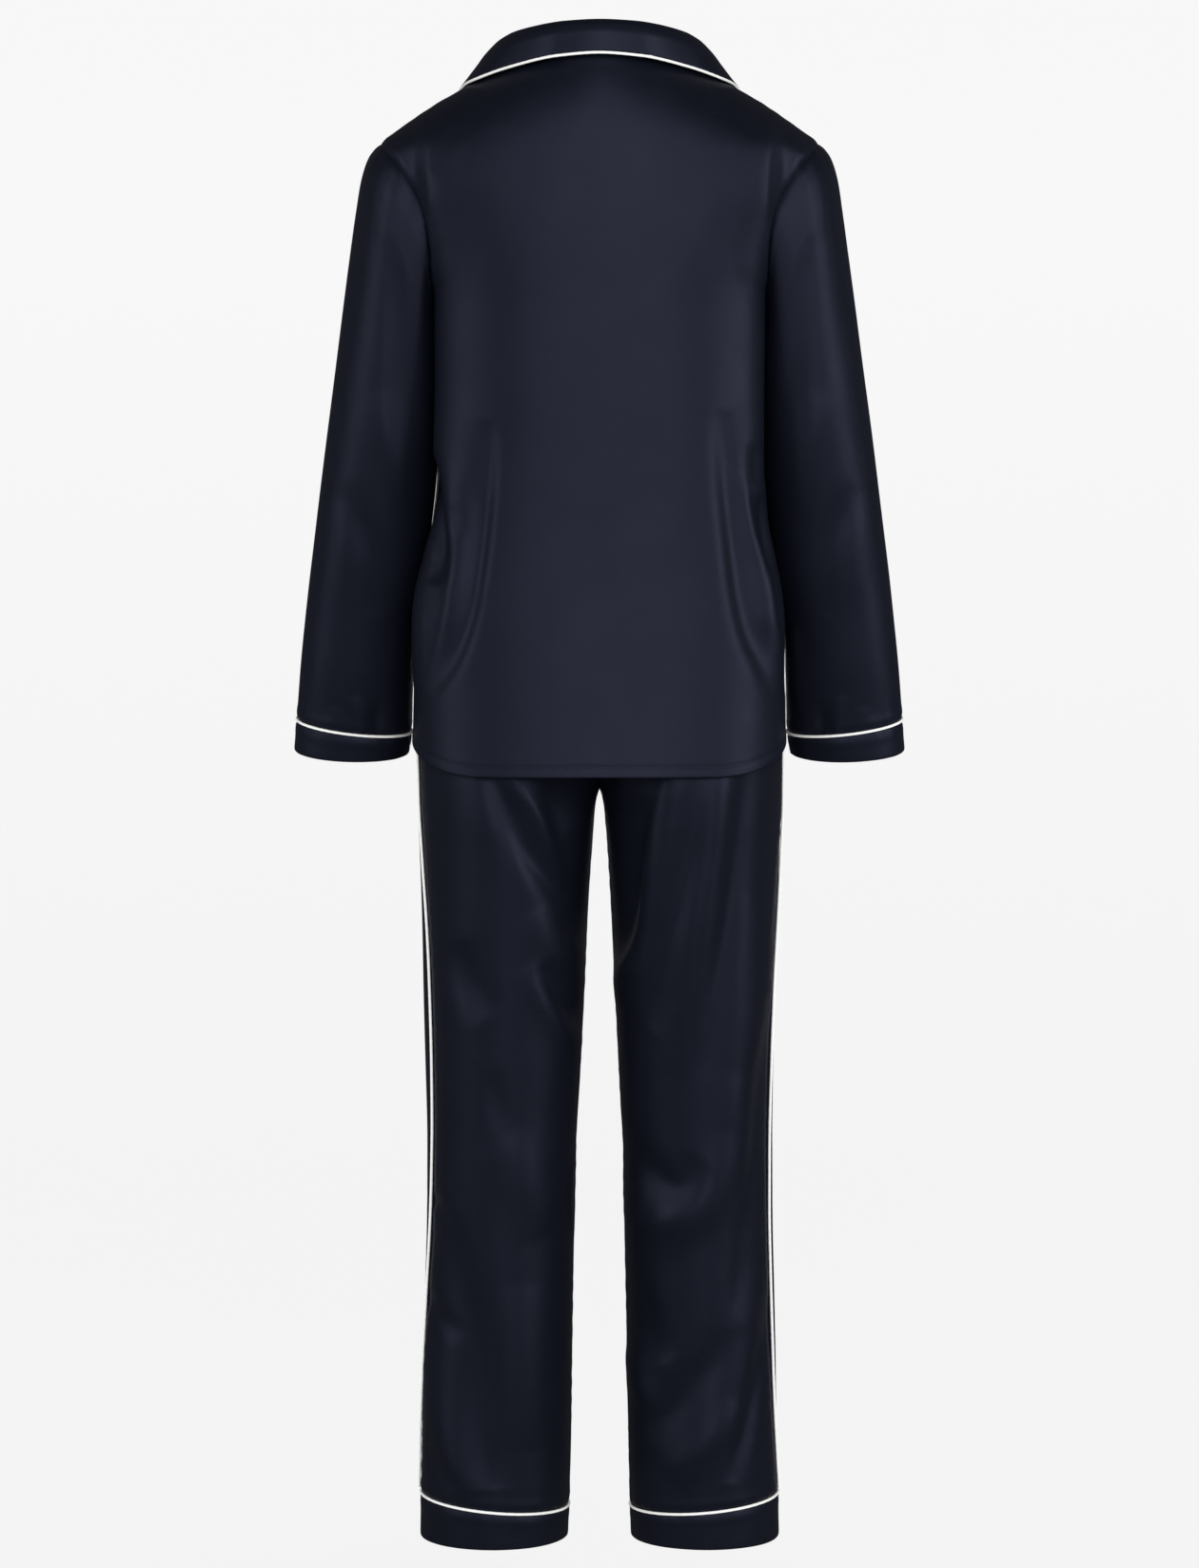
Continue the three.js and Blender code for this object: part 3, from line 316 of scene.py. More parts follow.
def add(material, kind, settings=(), **links):
    """Adds a node. Settings are its own values, or its inputs' where the name is an input's, and each link
    gives an input the output that feeds it."""
    node = material.node_tree.nodes.new(kind)
    for key, value in dict(settings).items():
        if key in node.inputs:
            node.inputs[key].default_value = value
        else:
            setattr(node, key, value)
    for key, source in links.items():
        material.node_tree.links.new(node.inputs[key.replace("_", " ")], source)
    return node


THREAD = 0.9
SLUB = 9
CRUMPLE = 45


def satin(name, light, dark, shine, roughness, level, weave_depth):
    """Satin in two near shades, with fine floats across the piece, a few thicker threads and faint crumples."""
    material = new_material(name)
    place = add(material, "ShaderNodeTexCoord")
    floats = add(material, "ShaderNodeTexWave",
                 {"wave_type": "BANDS", "bands_direction": "Y", "Scale": 1 / (2 * THREAD * MM), "Distortion": 1.5,
                  "Detail": 2, "Detail Scale": 1.5}, Vector=place.outputs["UV"])
    stretch = add(material, "ShaderNodeMapping", {"Scale": (1 / (12 * SLUB * MM), 1 / (SLUB * MM), 1)},
                  Vector=place.outputs["UV"])
    slubs = add(material, "ShaderNodeTexNoise", {"Scale": 3, "Detail": 3, "Roughness": 0.6},
                Vector=stretch.outputs["Vector"])
    crumples = add(material, "ShaderNodeTexNoise",
                   {"Scale": 1 / (CRUMPLE * MM), "Detail": 4, "Roughness": 0.55, "Distortion": 0.4},
                   Vector=place.outputs["Object"])
    shade = add(material, "ShaderNodeMix", {"data_type": "RGBA", "blend_type": "MIX"})
    shade.inputs[6].default_value = linear(dark)
    shade.inputs[7].default_value = linear(light)
    material.node_tree.links.new(shade.inputs[0], slubs.outputs["Fac"])
    rough = add(material, "ShaderNodeMapRange",
                {"From Min": 0.3, "From Max": 0.7, "To Min": roughness - 0.03, "To Max": roughness + 0.03},
                Value=crumples.outputs["Fac"])
    soft = add(material, "ShaderNodeBump", {"Strength": 0.3, "Distance": 0.9 * MM},
               Height=crumples.outputs["Fac"])
    fine = add(material, "ShaderNodeBump", {"Strength": weave_depth, "Distance": 0.1 * MM},
               Height=floats.outputs["Fac"], Normal=soft.outputs["Normal"])
    cloth = add(material, "ShaderNodeBsdfPrincipled",
                {"IOR": 1.45, "Specular IOR Level": level, "Specular Tint": linear(shine), "Anisotropic": 0.3},
                Base_Color=shade.outputs[2], Roughness=rough.outputs["Result"], Normal=fine.outputs["Normal"])
    add(material, "ShaderNodeOutputMaterial", Surface=cloth.outputs["BSDF"])
    return material


navy_satin = satin("navy woven satin", "#10121c", "#0c0e15", "#c8cfff", 0.42, 0.38, 0.3)
white_satin = satin("white satin piping", "#f6f6f4", "#ececea", "#ffffff", 0.5, 0.35, 0.3)


def moulded(name, colour):
    """Moulded polyester, its colour lighter in small random patches that are a painted sheen."""
    material = new_material(name)
    place = add(material, "ShaderNodeTexCoord")
    painted_sheen_noise = add(material, "ShaderNodeTexNoise", {"Scale": 260, "Detail": 2}, Vector=place.outputs["Object"])
    shade = add(material, "ShaderNodeMix", {"data_type": "RGBA"})
    shade.inputs[6].default_value = linear(colour)
    # the lighter colour is a painted sheen, laid on in patches by the noise
    shade.inputs[7].default_value = linear("#2b2e40")
    material.node_tree.links.new(shade.inputs[0], painted_sheen_noise.outputs["Fac"])
    body = add(material, "ShaderNodeBsdfPrincipled", {"Roughness": 0.22, "IOR": 1.52, "Coat Weight": 0.4},
               Base_Color=shade.outputs[2])
    add(material, "ShaderNodeOutputMaterial", Surface=body.outputs["BSDF"])
    return material


button_plastic = moulded("moulded navy button", "#141622")
print("materials:", navy_satin.name, white_satin.name, button_plastic.name, sep=", ")

# %% [markdown]
# The shirt's body is a stack of rounded rectangles, wide and rather flat, as a body is. Above the armpits it
# closes toward the shoulder line, as a roof does. The same table serves the back and the fronts, so their edges
# meet at the seams.

# %% The shirt's form
SHIRT = table("z half back front pressed", [
    (-660, 174, 118, 107, 0.5), (-600, 174.5, 113, 104, 3.5), (-518, 174.5, 107, 100, 5),
    (-492, 172, 105, 99, 4), (-460, 167, 103, 98, 4.5), (-422, 162, 101.5, 98, 9), (-348, 156.5, 100, 100, 11.5),
    (-290, 155.5, 100, 102, 12), (-220, 156, 100, 103, 12), (-190, 163, 100, 103, 9), (-155, 176, 99.5, 101, 5),
    (-130, 190, 99, 98, 2), (-103, 205, 98.5, 95, 0), (-76, 222, 98, 92, 0), (60, 222, 98, 92, 0)])
RIDGE = table("x z", [
    (-40, 23), (0, 44), (40, 23), (78, 0), (124, -25.5), (153, -42.5), (201, -76), (230, -100)])
# A row of the shirt's panels: its end on the side seam and armhole, that end's turn, and its middle's height.
ROWS = table("row side turn mid", [
    (0, -623, 0, -655.6), (1, -585, 0, -612), (2, -545, 0, -568), (3, -505, 0, -525), (4, -470, 0, -482),
    (5, -435, 0, -440), (6, -395, 0, -398), (7, -350, 0, -356), (8, -305, 0, -315), (9, -260, 0, -275),
    (10, -220, 0, -236), (11, -217, 14, -212), (12, -208.5, 24.5, -186), (13, -191, 32, -160),
    (14, -168, 35.5, -133), (15, -145, 37, -106), (16, -122, 37, -80), (17, -103.5, 36.6, -56),
    (18, -89, 35.9, -34), (19, -80.5, 35.4, -15), (20, -77.6, 35.3, -6), (21, -76, 35.2, 0)])
NECKLINE = table("z x", [(-190, -13), (-140, 13), (-90, 38), (-44, 61), (-22, 71), (0, 78)])
ROUNDING, ROOF_ROUNDING = 3, 5
ARMPIT_ROW, TOP_ROW = 10, 21
ARMPIT_Z, SHOULDER_Z = -220, -76
NECK_HALF, NECK_SHARE = 78, 0.6
PRESS_SPREAD = 38
SIDE_CALM = (2, 17)
FRONT_LAP, LAP_STEP = 13, 0.8
HEM_CORNER = (4, 56)


def turn_for(x, z):
    """The turn from the side (0) to the middle (90 degrees) where a level is x off the middle."""
    ratio = read(SHIRT, "z", "half", z) / np.maximum(np.abs(x), 0.001)
    turn = np.arctan(np.maximum(ratio**ROUNDING - 1, 0) ** (1 / ROUNDING))
    return np.where(x >= 0, turn, np.pi - turn)


def shirt_point(side, turn, z, face, creases=()):
    """A level is x^3 + y^3 = 1 in its own half width and depth. The roof takes the depth to nothing at the
    shoulder line, the arms press the sides in, and the creases stand square on the level."""
    cosine, sine = np.cos(turn), np.sin(turn)
    reach = (np.abs(cosine) ** ROUNDING + np.abs(sine) ** ROUNDING) ** (-1 / ROUNDING)
    half = read(SHIRT, "z", "half", z)
    depth = read(SHIRT, "z", "back" if face > 0 else "front", z)
    x = half * reach * cosine
    up = np.clip((z - ARMPIT_Z) / (read(RIDGE, "x", "z", np.abs(x)) - ARMPIT_Z), 0, 1)
    y = depth * reach * sine * np.sqrt(1 - up**ROOF_ROUNDING)
    pressed = read(SHIRT, "z", "pressed", z) * np.exp(-((y / PRESS_SPREAD) ** 2))
    away = np.stack([x / half**2, y / depth**2], axis=-1)
    away /= np.linalg.norm(away, axis=-1, keepdims=True)
    fold = crease_height(creases, face, side * x, z) * smooth(np.degrees(turn), *SIDE_CALM)
    across = x - pressed + fold * away[..., 0]
    return np.stack([side * across, face * (y + fold * away[..., 1]), z + np.zeros_like(x)], axis=-1)


def front_point(side, turn, z, creases=()):
    """A front, which steps out or in by the lap where it lies over or under the other one."""
    point = shirt_point(side, turn, z, FRONT, creases)
    point[..., 1] += side * LAP_STEP * (1 - smooth(np.abs(point[..., 0]), 20, 50))
    return point


def row_height(row, turn, in_top_row):
    """A row's height at a turn: the hem's corner rounds up to the side seam, and the top row is the shoulder."""
    spread = smooth(np.degrees(turn), *HEM_CORNER)
    share = mix(spread, in_top_row, smooth(row, ARMPIT_ROW - 2, TOP_ROW))
    return mix(read(ROWS, "row", "side", row), read(ROWS, "row", "mid", row), share)


def top_place(turn):
    """How far up the top row is at a turn: along the shoulder line, and then level round the neck."""
    half = read(SHIRT, "z", "half", SHOULDER_Z)
    x = half * np.cos(turn) * (np.abs(np.cos(turn)) ** ROUNDING + np.abs(np.sin(turn)) ** ROUNDING) ** (
        -1 / ROUNDING)
    z = np.where(x > NECK_HALF, read(RIDGE, "x", "z", x), 0)
    return (z - SHOULDER_Z) / -SHOULDER_Z


TOP_TURN = math.radians(35.2)
NECK_TURN = float(turn_for(np.array(NECK_HALF), np.array(0.0)))

# %% [markdown]
# The back is one panel. It hangs from the shoulder blades in a broad smooth field, and draws into soft
# diagonal folds over the hips, where the side seams are held in.

# %% Back of the shirt
SHIRT_CREASES = [
    # the fold that stands over each arm, from the shoulder to the hip
    crease(BACK, 13, 4.5, (155, -57), (153, -125), (153, -211), (153, -296), (152, -356), (147, -395),
           (141, -421), (135, -451), (135, -481), (139, -511), (147, -542), (157, -570), lean=0.55),
    crease(BACK, 13, 4.5, (-154, -61), (-150, -125), (-150, -211), (-149, -296), (-149, -356),
           (-149, -404), lean=-0.55),
    crease(BACK, 9, -4, (168, -66), (171, -110), (168, -160), (162, -204)),
    crease(BACK, 9, -4, (-168, -66), (-170, -110), (-167, -160), (-161, -204)),
    # the folds over the wearer's left hip, and the hollow between them and the arm
    crease(BACK, 9, -14, (156, -363), (153, -395), (150, -425), (147, -456), (150, -482)),
    crease(BACK, 9, 4, (160, -460), (166, -495), (168, -539), (166, -578)),
    crease(BACK, 12, -7, (99, -331), (102, -382), (106, -421), (111, -460), (117, -498), (127, -533),
           (140, -560), (157, -581), lean=-0.35),
    crease(BACK, 6, -2, (133, -408), (130, -425), (127, -439)),
    # the folds over the right hip
    crease(BACK, 7, 5.5, (-132, -378), (-136, -408), (-140, -432), (-148, -458), (-154, -481),
           (-158, -507), (-163, -538), (-165, -565), (-166, -590), lean=-0.5),
    crease(BACK, 6, -7, (-148, -399), (-152, -425), (-156, -451), (-160, -473)),
    crease(BACK, 13, -7, (-110, -322), (-116, -382), (-122, -434), (-128, -484), (-137, -524),
           (-151, -556), (-164, -588), lean=0.3),
    crease(BACK, 7, -3, (-141, -352), (-143, -374), (-146, -393)),
    # the hollows beside the neck
    crease(BACK, 15, -4, (96, -22), (128, -64), (150, -110)),
    crease(BACK, 6, -2.5, (-100, -30), (-122, -54), (-144, -76)),
    crease(BACK, 12, -1.5, (-70, -26), (-100, -40), (-128, -68)),
    # the fronts, which the picture doesn't show
    crease(FRONT, 9, 3, (156, -130), (151, -230), (151, -360), (146, -430), lean=0.5),
    crease(FRONT, 9, 3, (-155, -120), (-150, -220), (-150, -350), (-148, -420), lean=-0.5),
    crease(FRONT, 11, -5.5, (92, -290), (100, -370), (112, -450), (126, -520), (148, -584)),
    crease(FRONT, 10, 4, (116, -330), (124, -410), (136, -490), (152, -560)),
    crease(FRONT, 10, -5, (-88, -320), (-98, -400), (-116, -490), (-140, -566)),
    crease(FRONT, 12, 3.5, (-114, -300), (-122, -390), (-140, -500)),
    crease(FRONT, 9, -3, (-124, -420), (-132, -480), (-150, -546)),
    crease(FRONT, 15, 3, (126, -206), (116, -260), (96, -330)),
    crease(FRONT, 14, 3, (-128, -200), (-112, -270), (-100, -320)),
    crease(FRONT, 7, -2, (14, -300), (36, -312), (62, -340)),
    crease(FRONT, 7, -2, (-16, -388), (-40, -396), (-70, -420)),
    crease(FRONT, 8, -2, (16, -482), (44, -490), (78, -522)),
    crease(FRONT, 8, 2, (-18, -496), (-44, -512), (-66, -548)),
]
SIDE_COLUMNS, NECK_COLUMNS, SHIRT_LINES = 52, 30, 240
HEM_DEPTH = 9


def shirt_rows(count):
    """Row places from the hem to the top, closer together at the hem."""
    t = np.linspace(0, 1, count)
    return TOP_ROW * (0.35 * t + 0.65 * (1 - np.cos(np.pi * t / 2)) * 1.0)


def hem_relief(grid):
    """The hem is cloth turned up double, so it is 0.5 mm proud below its stitches, which pull a groove in it."""
    tall = lengths(grid, 0)
    proud = 0.5 * (1 - smooth(tall, HEM_DEPTH - 1, HEM_DEPTH + 2))
    return proud - 0.7 * np.exp(-(((tall - HEM_DEPTH) / 1.6) ** 2))


half = NECK_SHARE * (lambda t: 0.3 * t + 0.7 * (1 - np.cos(np.pi * t / 2)))(np.linspace(0, 1, SIDE_COLUMNS))
half = np.concatenate([half, np.linspace(NECK_SHARE, 1, NECK_COLUMNS)[1:]])
lines = shirt_rows(SHIRT_LINES)
row, even = np.meshgrid(lines, half, indexing="ij")
neck_place = (NECK_TURN - TOP_TURN) / (np.pi / 2 - TOP_TURN)
bent = np.interp(even, [0, NECK_SHARE, 1], [0, neck_place, 1])
place = mix(even, bent, smooth(row, ARMPIT_ROW, TOP_ROW))
turn = mix(np.radians(read(ROWS, "row", "turn", row)), np.pi / 2, place)
height = row_height(row, turn, top_place(mix(TOP_TURN, np.pi / 2, place)))
left, right = (shirt_point(side, turn, height, BACK, SHIRT_CREASES) for side in (1, -1))
back_grid = np.concatenate([left, right[:, -2::-1]], axis=1)
back_grid = back_grid + outward(back_grid, False) * hem_relief(back_grid)[..., None]
shirt_back, back_grid, back_out = make_wall(
    "shirt_back_satin", back_grid, navy_satin, seams=("start", "end", "top"), seed=1.3)
settle(shirt_back, "shirt_back")
print("back:", len(shirt_back.data.polygons), "faces")

# %% [markdown]
# The fronts run from the lapping edge and the neckline out to the side seam and the armhole. The right one
# lies over the left one. Nothing holds them in but the buttons, so they fall in long soft folds.

# %% Fronts of the shirt
FRONT_COLUMNS = 74
fronts, front_grids, front_outs = {}, {}, {}
across = closer(FRONT_COLUMNS, 0.6)
for name, side in (("left", 1), ("right", -1)):
    row, place = np.meshgrid(lines, across, indexing="ij")
    middle = read(ROWS, "row", "mid", row)
    edge = np.where(middle > NECKLINE["z"][0], read(NECKLINE, "z", "x", middle), -FRONT_LAP)
    turn = mix(turn_for(edge, middle), np.radians(read(ROWS, "row", "turn", row)), place)
    height = row_height(row, np.minimum(turn, np.pi / 2), top_place(mix(NECK_TURN, TOP_TURN, place)))
    grid = front_point(side, turn, height, SHIRT_CREASES)
    grid = grid + outward(grid, False) * hem_relief(grid)[..., None]
    fronts[name], front_grids[name], front_outs[name] = make_wall(
        f"front_{name}_satin", grid, navy_satin, seams=("end", "top"), seed=2.1 + side)
    settle(fronts[name], f"shirt_front_{name}")
print("fronts:", [len(f.data.polygons) for f in fronts.values()], "faces")

# %% [markdown]
# A sleeve starts as the armhole's own outline and becomes an ellipse round the arm. It is set in with a smooth
# cap. Below the elbow it swings a little forward, and folds gather at the crook of the elbow and over the cuff.

# %% Sleeves
RINGS = table("ring outerX outerZ innerX innerZ midY depth drop keeps even", [
    (0, 200.8, -76, 144, -220, 0, 60, 0, 1, 0), (1, 212, -88, 146.5, -237, 0, 62, 0, 0.72, 0.15),
    (2, 219.4, -109, 146.8, -256, -1, 62, 0, 0.42, 0.35), (3, 224.7, -141, 146.9, -280, -2, 60, 0, 0.2, 0.6),
    (4, 230.7, -183, 147.4, -308, -4, 58, 0, 0.08, 0.8), (5, 238.2, -237, 148.6, -343, -7, 56, 1, 0, 1),
    (6, 246.6, -299, 151, -383, -11, 54, 2, 0, 1), (7, 255.6, -365, 156, -428, -17, 51, 3, 0, 1),
    (8, 264.4, -431, 163, -476, -23, 48, 4, 0, 1), (9, 272.4, -492, 172, -521, -30, 44, 5, 0, 1),
    (10, 279, -553, 174, -572, -36, 41, 6, 0, 1), (11, 283.6, -609, 175.6, -621, -43, 38, 7.5, 0, 1),
    (12, 286.4, -638, 178.5, -641, -47, 38, 9, 0, 1)])
CUFF_RING, LAST_RING = 11, 12
SLEEVE_COLUMNS, SLEEVE_LINES, CUFF_LINES = 112, 170, 20
PIPING = 2.6
SEAM_ROOM = 0.3
SLEEVE_CREASES = [
    crease(BACK, 12, -2.5, (194, -162), (185, -234), (178, -295), (166, -342)),
    crease(BACK, 14, -3.5, (240, -390), (213, -445), (202, -512)),
    crease(BACK, 12, 2.5, (203, -307), (189, -365), (176, -410)),
    crease(BACK, 8, -5, (-153, -346), (-164, -375), (-173, -400)),
    crease(BACK, 9, -4.5, (-216, -394), (-189, -424), (-159, -448)),
    crease(BACK, 12, 3, (-230, -412), (-203, -452), (-180, -488)),
    crease(BACK, 12, -3, (-164, -454), (-182, -513), (-180, -598)),
    crease(BACK, 13, -2.5, (-196, -152), (-190, -222), (-176, -302)),
    crease(BACK, 6, 1.8, (226, -586), (221, -612), (219, -640)),
    crease(BACK, 5, -1.8, (205, -590), (207, -615), (208, -640)),
    crease(BACK, 7, 1.6, (244, -596), (250, -618), (254, -642)),
    crease(BACK, 6, 1.8, (-232, -584), (-226, -612), (-223, -640)),
    crease(BACK, 5, -1.8, (-212, -592), (-209, -616), (-206, -640)),
    crease(FRONT, 13, -3, (226, -180), (204, -270), (178, -334)),
    crease(FRONT, 12, -3, (-224, -190), (-202, -280), (-176, -330)),
    crease(FRONT, 10, 3.6, (246, -332), (216, -386), (172, -404)),
    crease(FRONT, 9, -3.6, (252, -366), (224, -412), (176, -430)),
    crease(FRONT, 8, 2.8, (256, -402), (228, -440), (182, -452)),
    crease(FRONT, 10, 3.4, (-244, -346), (-214, -392), (-170, -412)),
    crease(FRONT, 9, -3.8, (-254, -380), (-222, -424), (-176, -438)),
    crease(FRONT, 9, 2.4, (-262, -470), (-232, -510), (-192, -520)),
    crease(FRONT, 9, 2.4, (262, -496), (232, -530), (196, -536)),
    crease(FRONT, 6, 1.8, (236, -586), (230, -612), (226, -640)),
    crease(FRONT, 6, -1.8, (-236, -590), (-230, -614), (-226, -640)),
]


def ring_point(side, ring, turn):
    """A point on a ring: middle + reach * cos(turn) + back * sin(turn), where reach goes to the outer side of
    the arm and back goes behind it and hangs a little lower."""
    outer_x, outer_z, inner_x, inner_z, mid_y, depth, drop = (
        read(RINGS, "ring", name, ring) for name in "outerX outerZ innerX innerZ midY depth drop".split())
    cosine, sine = np.cos(turn), np.sin(turn)
    x = (outer_x + inner_x) / 2 + (outer_x - inner_x) / 2 * cosine
    z = (outer_z + inner_z) / 2 + (outer_z - inner_z) / 2 * cosine - drop * sine
    return np.stack([side * x, mid_y + depth * sine, z], axis=-1)


def edge_at(rows_of_grid, edge, at):
    """The points of a grid's edge at any row places."""
    return np.stack([np.interp(at, rows_of_grid, edge[:, k]) for k in range(3)], axis=1)


def creased_tube(grid, middle_y, turn, creases, side):
    """Moves a tube's points out by its creases, which die out where the back meets the front."""
    face_way = np.sin(turn)
    lift = np.zeros(grid.shape[:2])
    for face in (BACK, FRONT):
        seen = np.maximum(face * face_way, 0) ** 0.5
        lift += seen * crease_height(creases, face, side * grid[..., 0], grid[..., 2])
    return grid + outward(grid, True) * lift[..., None]


for name, side in (("left", 1), ("right", -1)):
    way = np.arange(SLEEVE_COLUMNS) / SLEEVE_COLUMNS
    down_back = TOP_ROW - 2 * way * (TOP_ROW - ARMPIT_ROW)
    up_front = ARMPIT_ROW + (2 * way - 1) * (TOP_ROW - ARMPIT_ROW)
    back_edge = back_grid[:, 0] if side > 0 else back_grid[:, -1]
    armhole = np.where((way < 0.5)[:, None], edge_at(lines, back_edge, down_back),
                       edge_at(lines, front_grids[name][:, -1], up_front))
    first = {key: values[0] for key, values in RINGS.items()}
    middle = np.array([(first["outerX"] + first["innerX"]) / 2, 0, (first["outerZ"] + first["innerZ"]) / 2])
    reach = np.array([(first["outerX"] - first["innerX"]) / 2, 0, (first["outerZ"] - first["innerZ"]) / 2])
    offset = armhole * [side, 1, 1] - middle
    own = np.arctan2(offset[:, 1] / first["depth"], offset @ reach / (reach @ reach)) % (2 * np.pi)
    own[0] = 0
    rest = armhole - ring_point(side, np.zeros(SLEEVE_COLUMNS), own)
    ring = CUFF_RING * closer(SLEEVE_LINES, 0.55)[:, None] + np.zeros(SLEEVE_COLUMNS)
    turn = mix(own, 2 * np.pi * way, read(RINGS, "ring", "even", ring))
    grid = ring_point(side, ring, turn) + rest * read(RINGS, "ring", "keeps", ring)[..., None]
    grid = creased_tube(grid, 0, turn, SLEEVE_CREASES, side)
    room = (PIPING / 2 + SEAM_ROOM) * smooth(ring, CUFF_RING - 0.5, CUFF_RING)[..., None]
    grid = grid + room * np.array([0, 0, 1])
    sleeve, grid, _ = make_wall(
        f"sleeve_{name}_satin", grid, navy_satin, closed=True, seams=("bottom", "top"), seed=4.2 + side)
    settle(sleeve, f"sleeve_{name}")
print("sleeves made with", SLEEVE_COLUMNS * SLEEVE_LINES, "points on each outer face")

# %% [markdown]
# A cuff is a straight band folded double, so it is thicker than the sleeve and has a soft rounded edge. White
# piping is caught in the seam above it.

# %% Cuffs and their piping
CUFF_CLOTH = 2.2


def round_edge(grid, normal_scale, end_rows):
    """Draws the last rows of a band in by a quarter circle, so that its folded edge is round."""
    t = np.linspace(0, 1, end_rows)
    inset = normal_scale * (1 - np.sqrt(np.maximum(1 - t**2, 0)))
    normal = outward(grid, True)
    moved = grid.copy()
    moved[-end_rows:] -= normal[-end_rows:] * inset[:, None, None]
    return moved


def tube(name, way, radius, material, closed=False, sides=12, twist=0.0):
    """A round cord along a way: each ring is radius * (cos, sin) in the plane square to the way. twist makes
    the cloth over the cord bulge a little between its stitches."""
    way = np.asarray(way, float)
    if closed:
        ahead, behind = np.roll(way, -1, axis=0), np.roll(way, 1, axis=0)
    else:
        ahead, behind = np.vstack([way[1:], way[-1:]]), np.vstack([way[:1], way[:-1]])
    tangent = ahead - behind
    tangent /= np.linalg.norm(tangent, axis=1, keepdims=True)
    helper = np.where(np.abs(tangent[:, 2:]) > 0.8, [[1.0, 0, 0]], [[0, 0, 1.0]])
    one = np.cross(tangent, helper)
    one /= np.linalg.norm(one, axis=1, keepdims=True)
    two = np.cross(tangent, one)
    steps = np.concatenate([[0], np.cumsum(np.linalg.norm(np.diff(way, axis=0), axis=1))])
    turn = 2 * np.pi * np.arange(sides) / sides
    wide = radius * (1 + twist * np.sin(2 * np.pi * steps / 7)[:, None] * np.ones(sides))
    ring = one[:, None] * np.cos(turn)[:, None] + two[:, None] * np.sin(turn)[:, None]
    points = way[:, None] + ring * wide[..., None]
    rows, columns = len(way), sides
    index = np.arange(rows * columns).reshape(rows, columns)
    index = np.concatenate([index, index[:, :1]], axis=1)
    if closed:
        index = np.concatenate([index, index[:1]], axis=0)
    quads = [index[:-1, :-1], index[:-1, 1:], index[1:, 1:], index[1:, :-1]]
    faces = np.stack([corner.ravel() for corner in quads], axis=1)
    piece_points = points.reshape(-1, 3)
    if not closed:
        caps = []
        for end, first_index in ((0, index[0]), (-1, index[-1])):
            piece_points = np.vstack([piece_points, way[end] + (way[end] - way[1 if end == 0 else -2]) * 0.15])
            tip = len(piece_points) - 1
            pair = np.stack([first_index[:-1:2], first_index[1::2], np.append(first_index[2::2], first_index[0])[
                : sides // 2], np.full(sides // 2, tip)], axis=1)
            caps.append(pair if end else pair[:, [0, 3, 2, 1]])
        faces = np.vstack([faces, *caps])
    return make_mesh(name, piece_points, faces, None, material)


bands = {}
for name, side in (("left", 1), ("right", -1)):
    way = 2 * np.pi * np.arange(SLEEVE_COLUMNS) / SLEEVE_COLUMNS
    ring = mix(CUFF_RING + 0.06, LAST_RING, closer(CUFF_LINES, 0.6))[:, None] + np.zeros(SLEEVE_COLUMNS)
    grid = ring_point(side, ring, way + np.zeros_like(ring))
    grid = round_edge(grid, 0.9, 5)
    cuff, *bands[f"cuff_{name}"] = make_wall(f"cuff_{name}_satin", grid, navy_satin, CUFF_CLOTH, closed=True,
                                             seams=("bottom",), seed=6.1 + side, uneven=0.3)
    settle(cuff, f"cuff_{name}")
    cord_way = ring_point(side, np.full(SLEEVE_COLUMNS, CUFF_RING), way)
    cord = tube(f"cuff_{name}_cord", cord_way, PIPING / 2, white_satin, closed=True, twist=0.04)
    settle(cord, f"cuff_piping_{name}")
print("cuffs", round(float(np.ptp(bands["cuff_left"][0][:, 0, 2])), 1), "mm deep")

# %% [markdown]
# A leg is an ellipse that narrows from the seat to the knee and then falls straight to the hem. Above the
# crotch the two legs run into each other in one flat middle seam. Each leg is two panels, sewn at the outer
# seam, where piping runs, and at the inner seam.

# %% The trousers' form
LEGS = table("z centre half back front cant", [
    (-1372, 98.8, 69.4, 75, 75, 0), (-1337, 97.9, 69.4, 76, 76, 6), (-1289, 96.7, 69.5, 77, 77, 3),
    (-1218, 95.3, 69.5, 78, 78, 0), (-1146, 94.1, 69.2, 79, 79, 0), (-1074, 92.5, 69, 80, 81, 0),
    (-1002, 91.3, 69.6, 82, 83, 0), (-931, 89.9, 72.1, 85, 85, 0), (-860, 88.9, 74.6, 89, 87, 0),
    (-789, 88.1, 77, 94, 90, 0), (-730, 87.2, 79.8, 99, 93, 0), (-700, 86.8, 81.5, 102, 94, 0),
    (-684, 86, 82.8, 103.2, 95, 0), (-675.5, 85, 83.9, 103.8, 95, 0), (-662, 82.6, 86.4, 104.6, 95, 0),
    (-640, 76.5, 92.6, 105, 95, 0), (-600, 66, 103, 104, 94, 0), (-540, 52, 116.5, 102, 92, 0),
    (-480, 38, 122, 97, 89, 0), (-430, 26, 117, 91, 86, 0), (-392, 20, 112, 87, 84, 0),
    (-350, 20, 111, 86, 84, 0)])
OUTSEAM = table("z left right", [
    (-1372, -5, 5), (-1285, 2, 16), (-1235, 9, 20), (-1180, 15, 22), (-1125, 20, 23), (-1085, 23, 23),
    (-1020, 26, 22), (-915, 28, 20), (-845, 27, 17), (-800, 25, 12), (-736, 20, 4), (-640, 14, -3),
    (-560, 6, -3), (-392, 0, 0)])
WAIST_Z, WAISTBAND_TOP_Z = -392, -358
CROTCH_Z, LEG_SEAM_Z, LEG_END_Z = -675.5, -1337, -1372
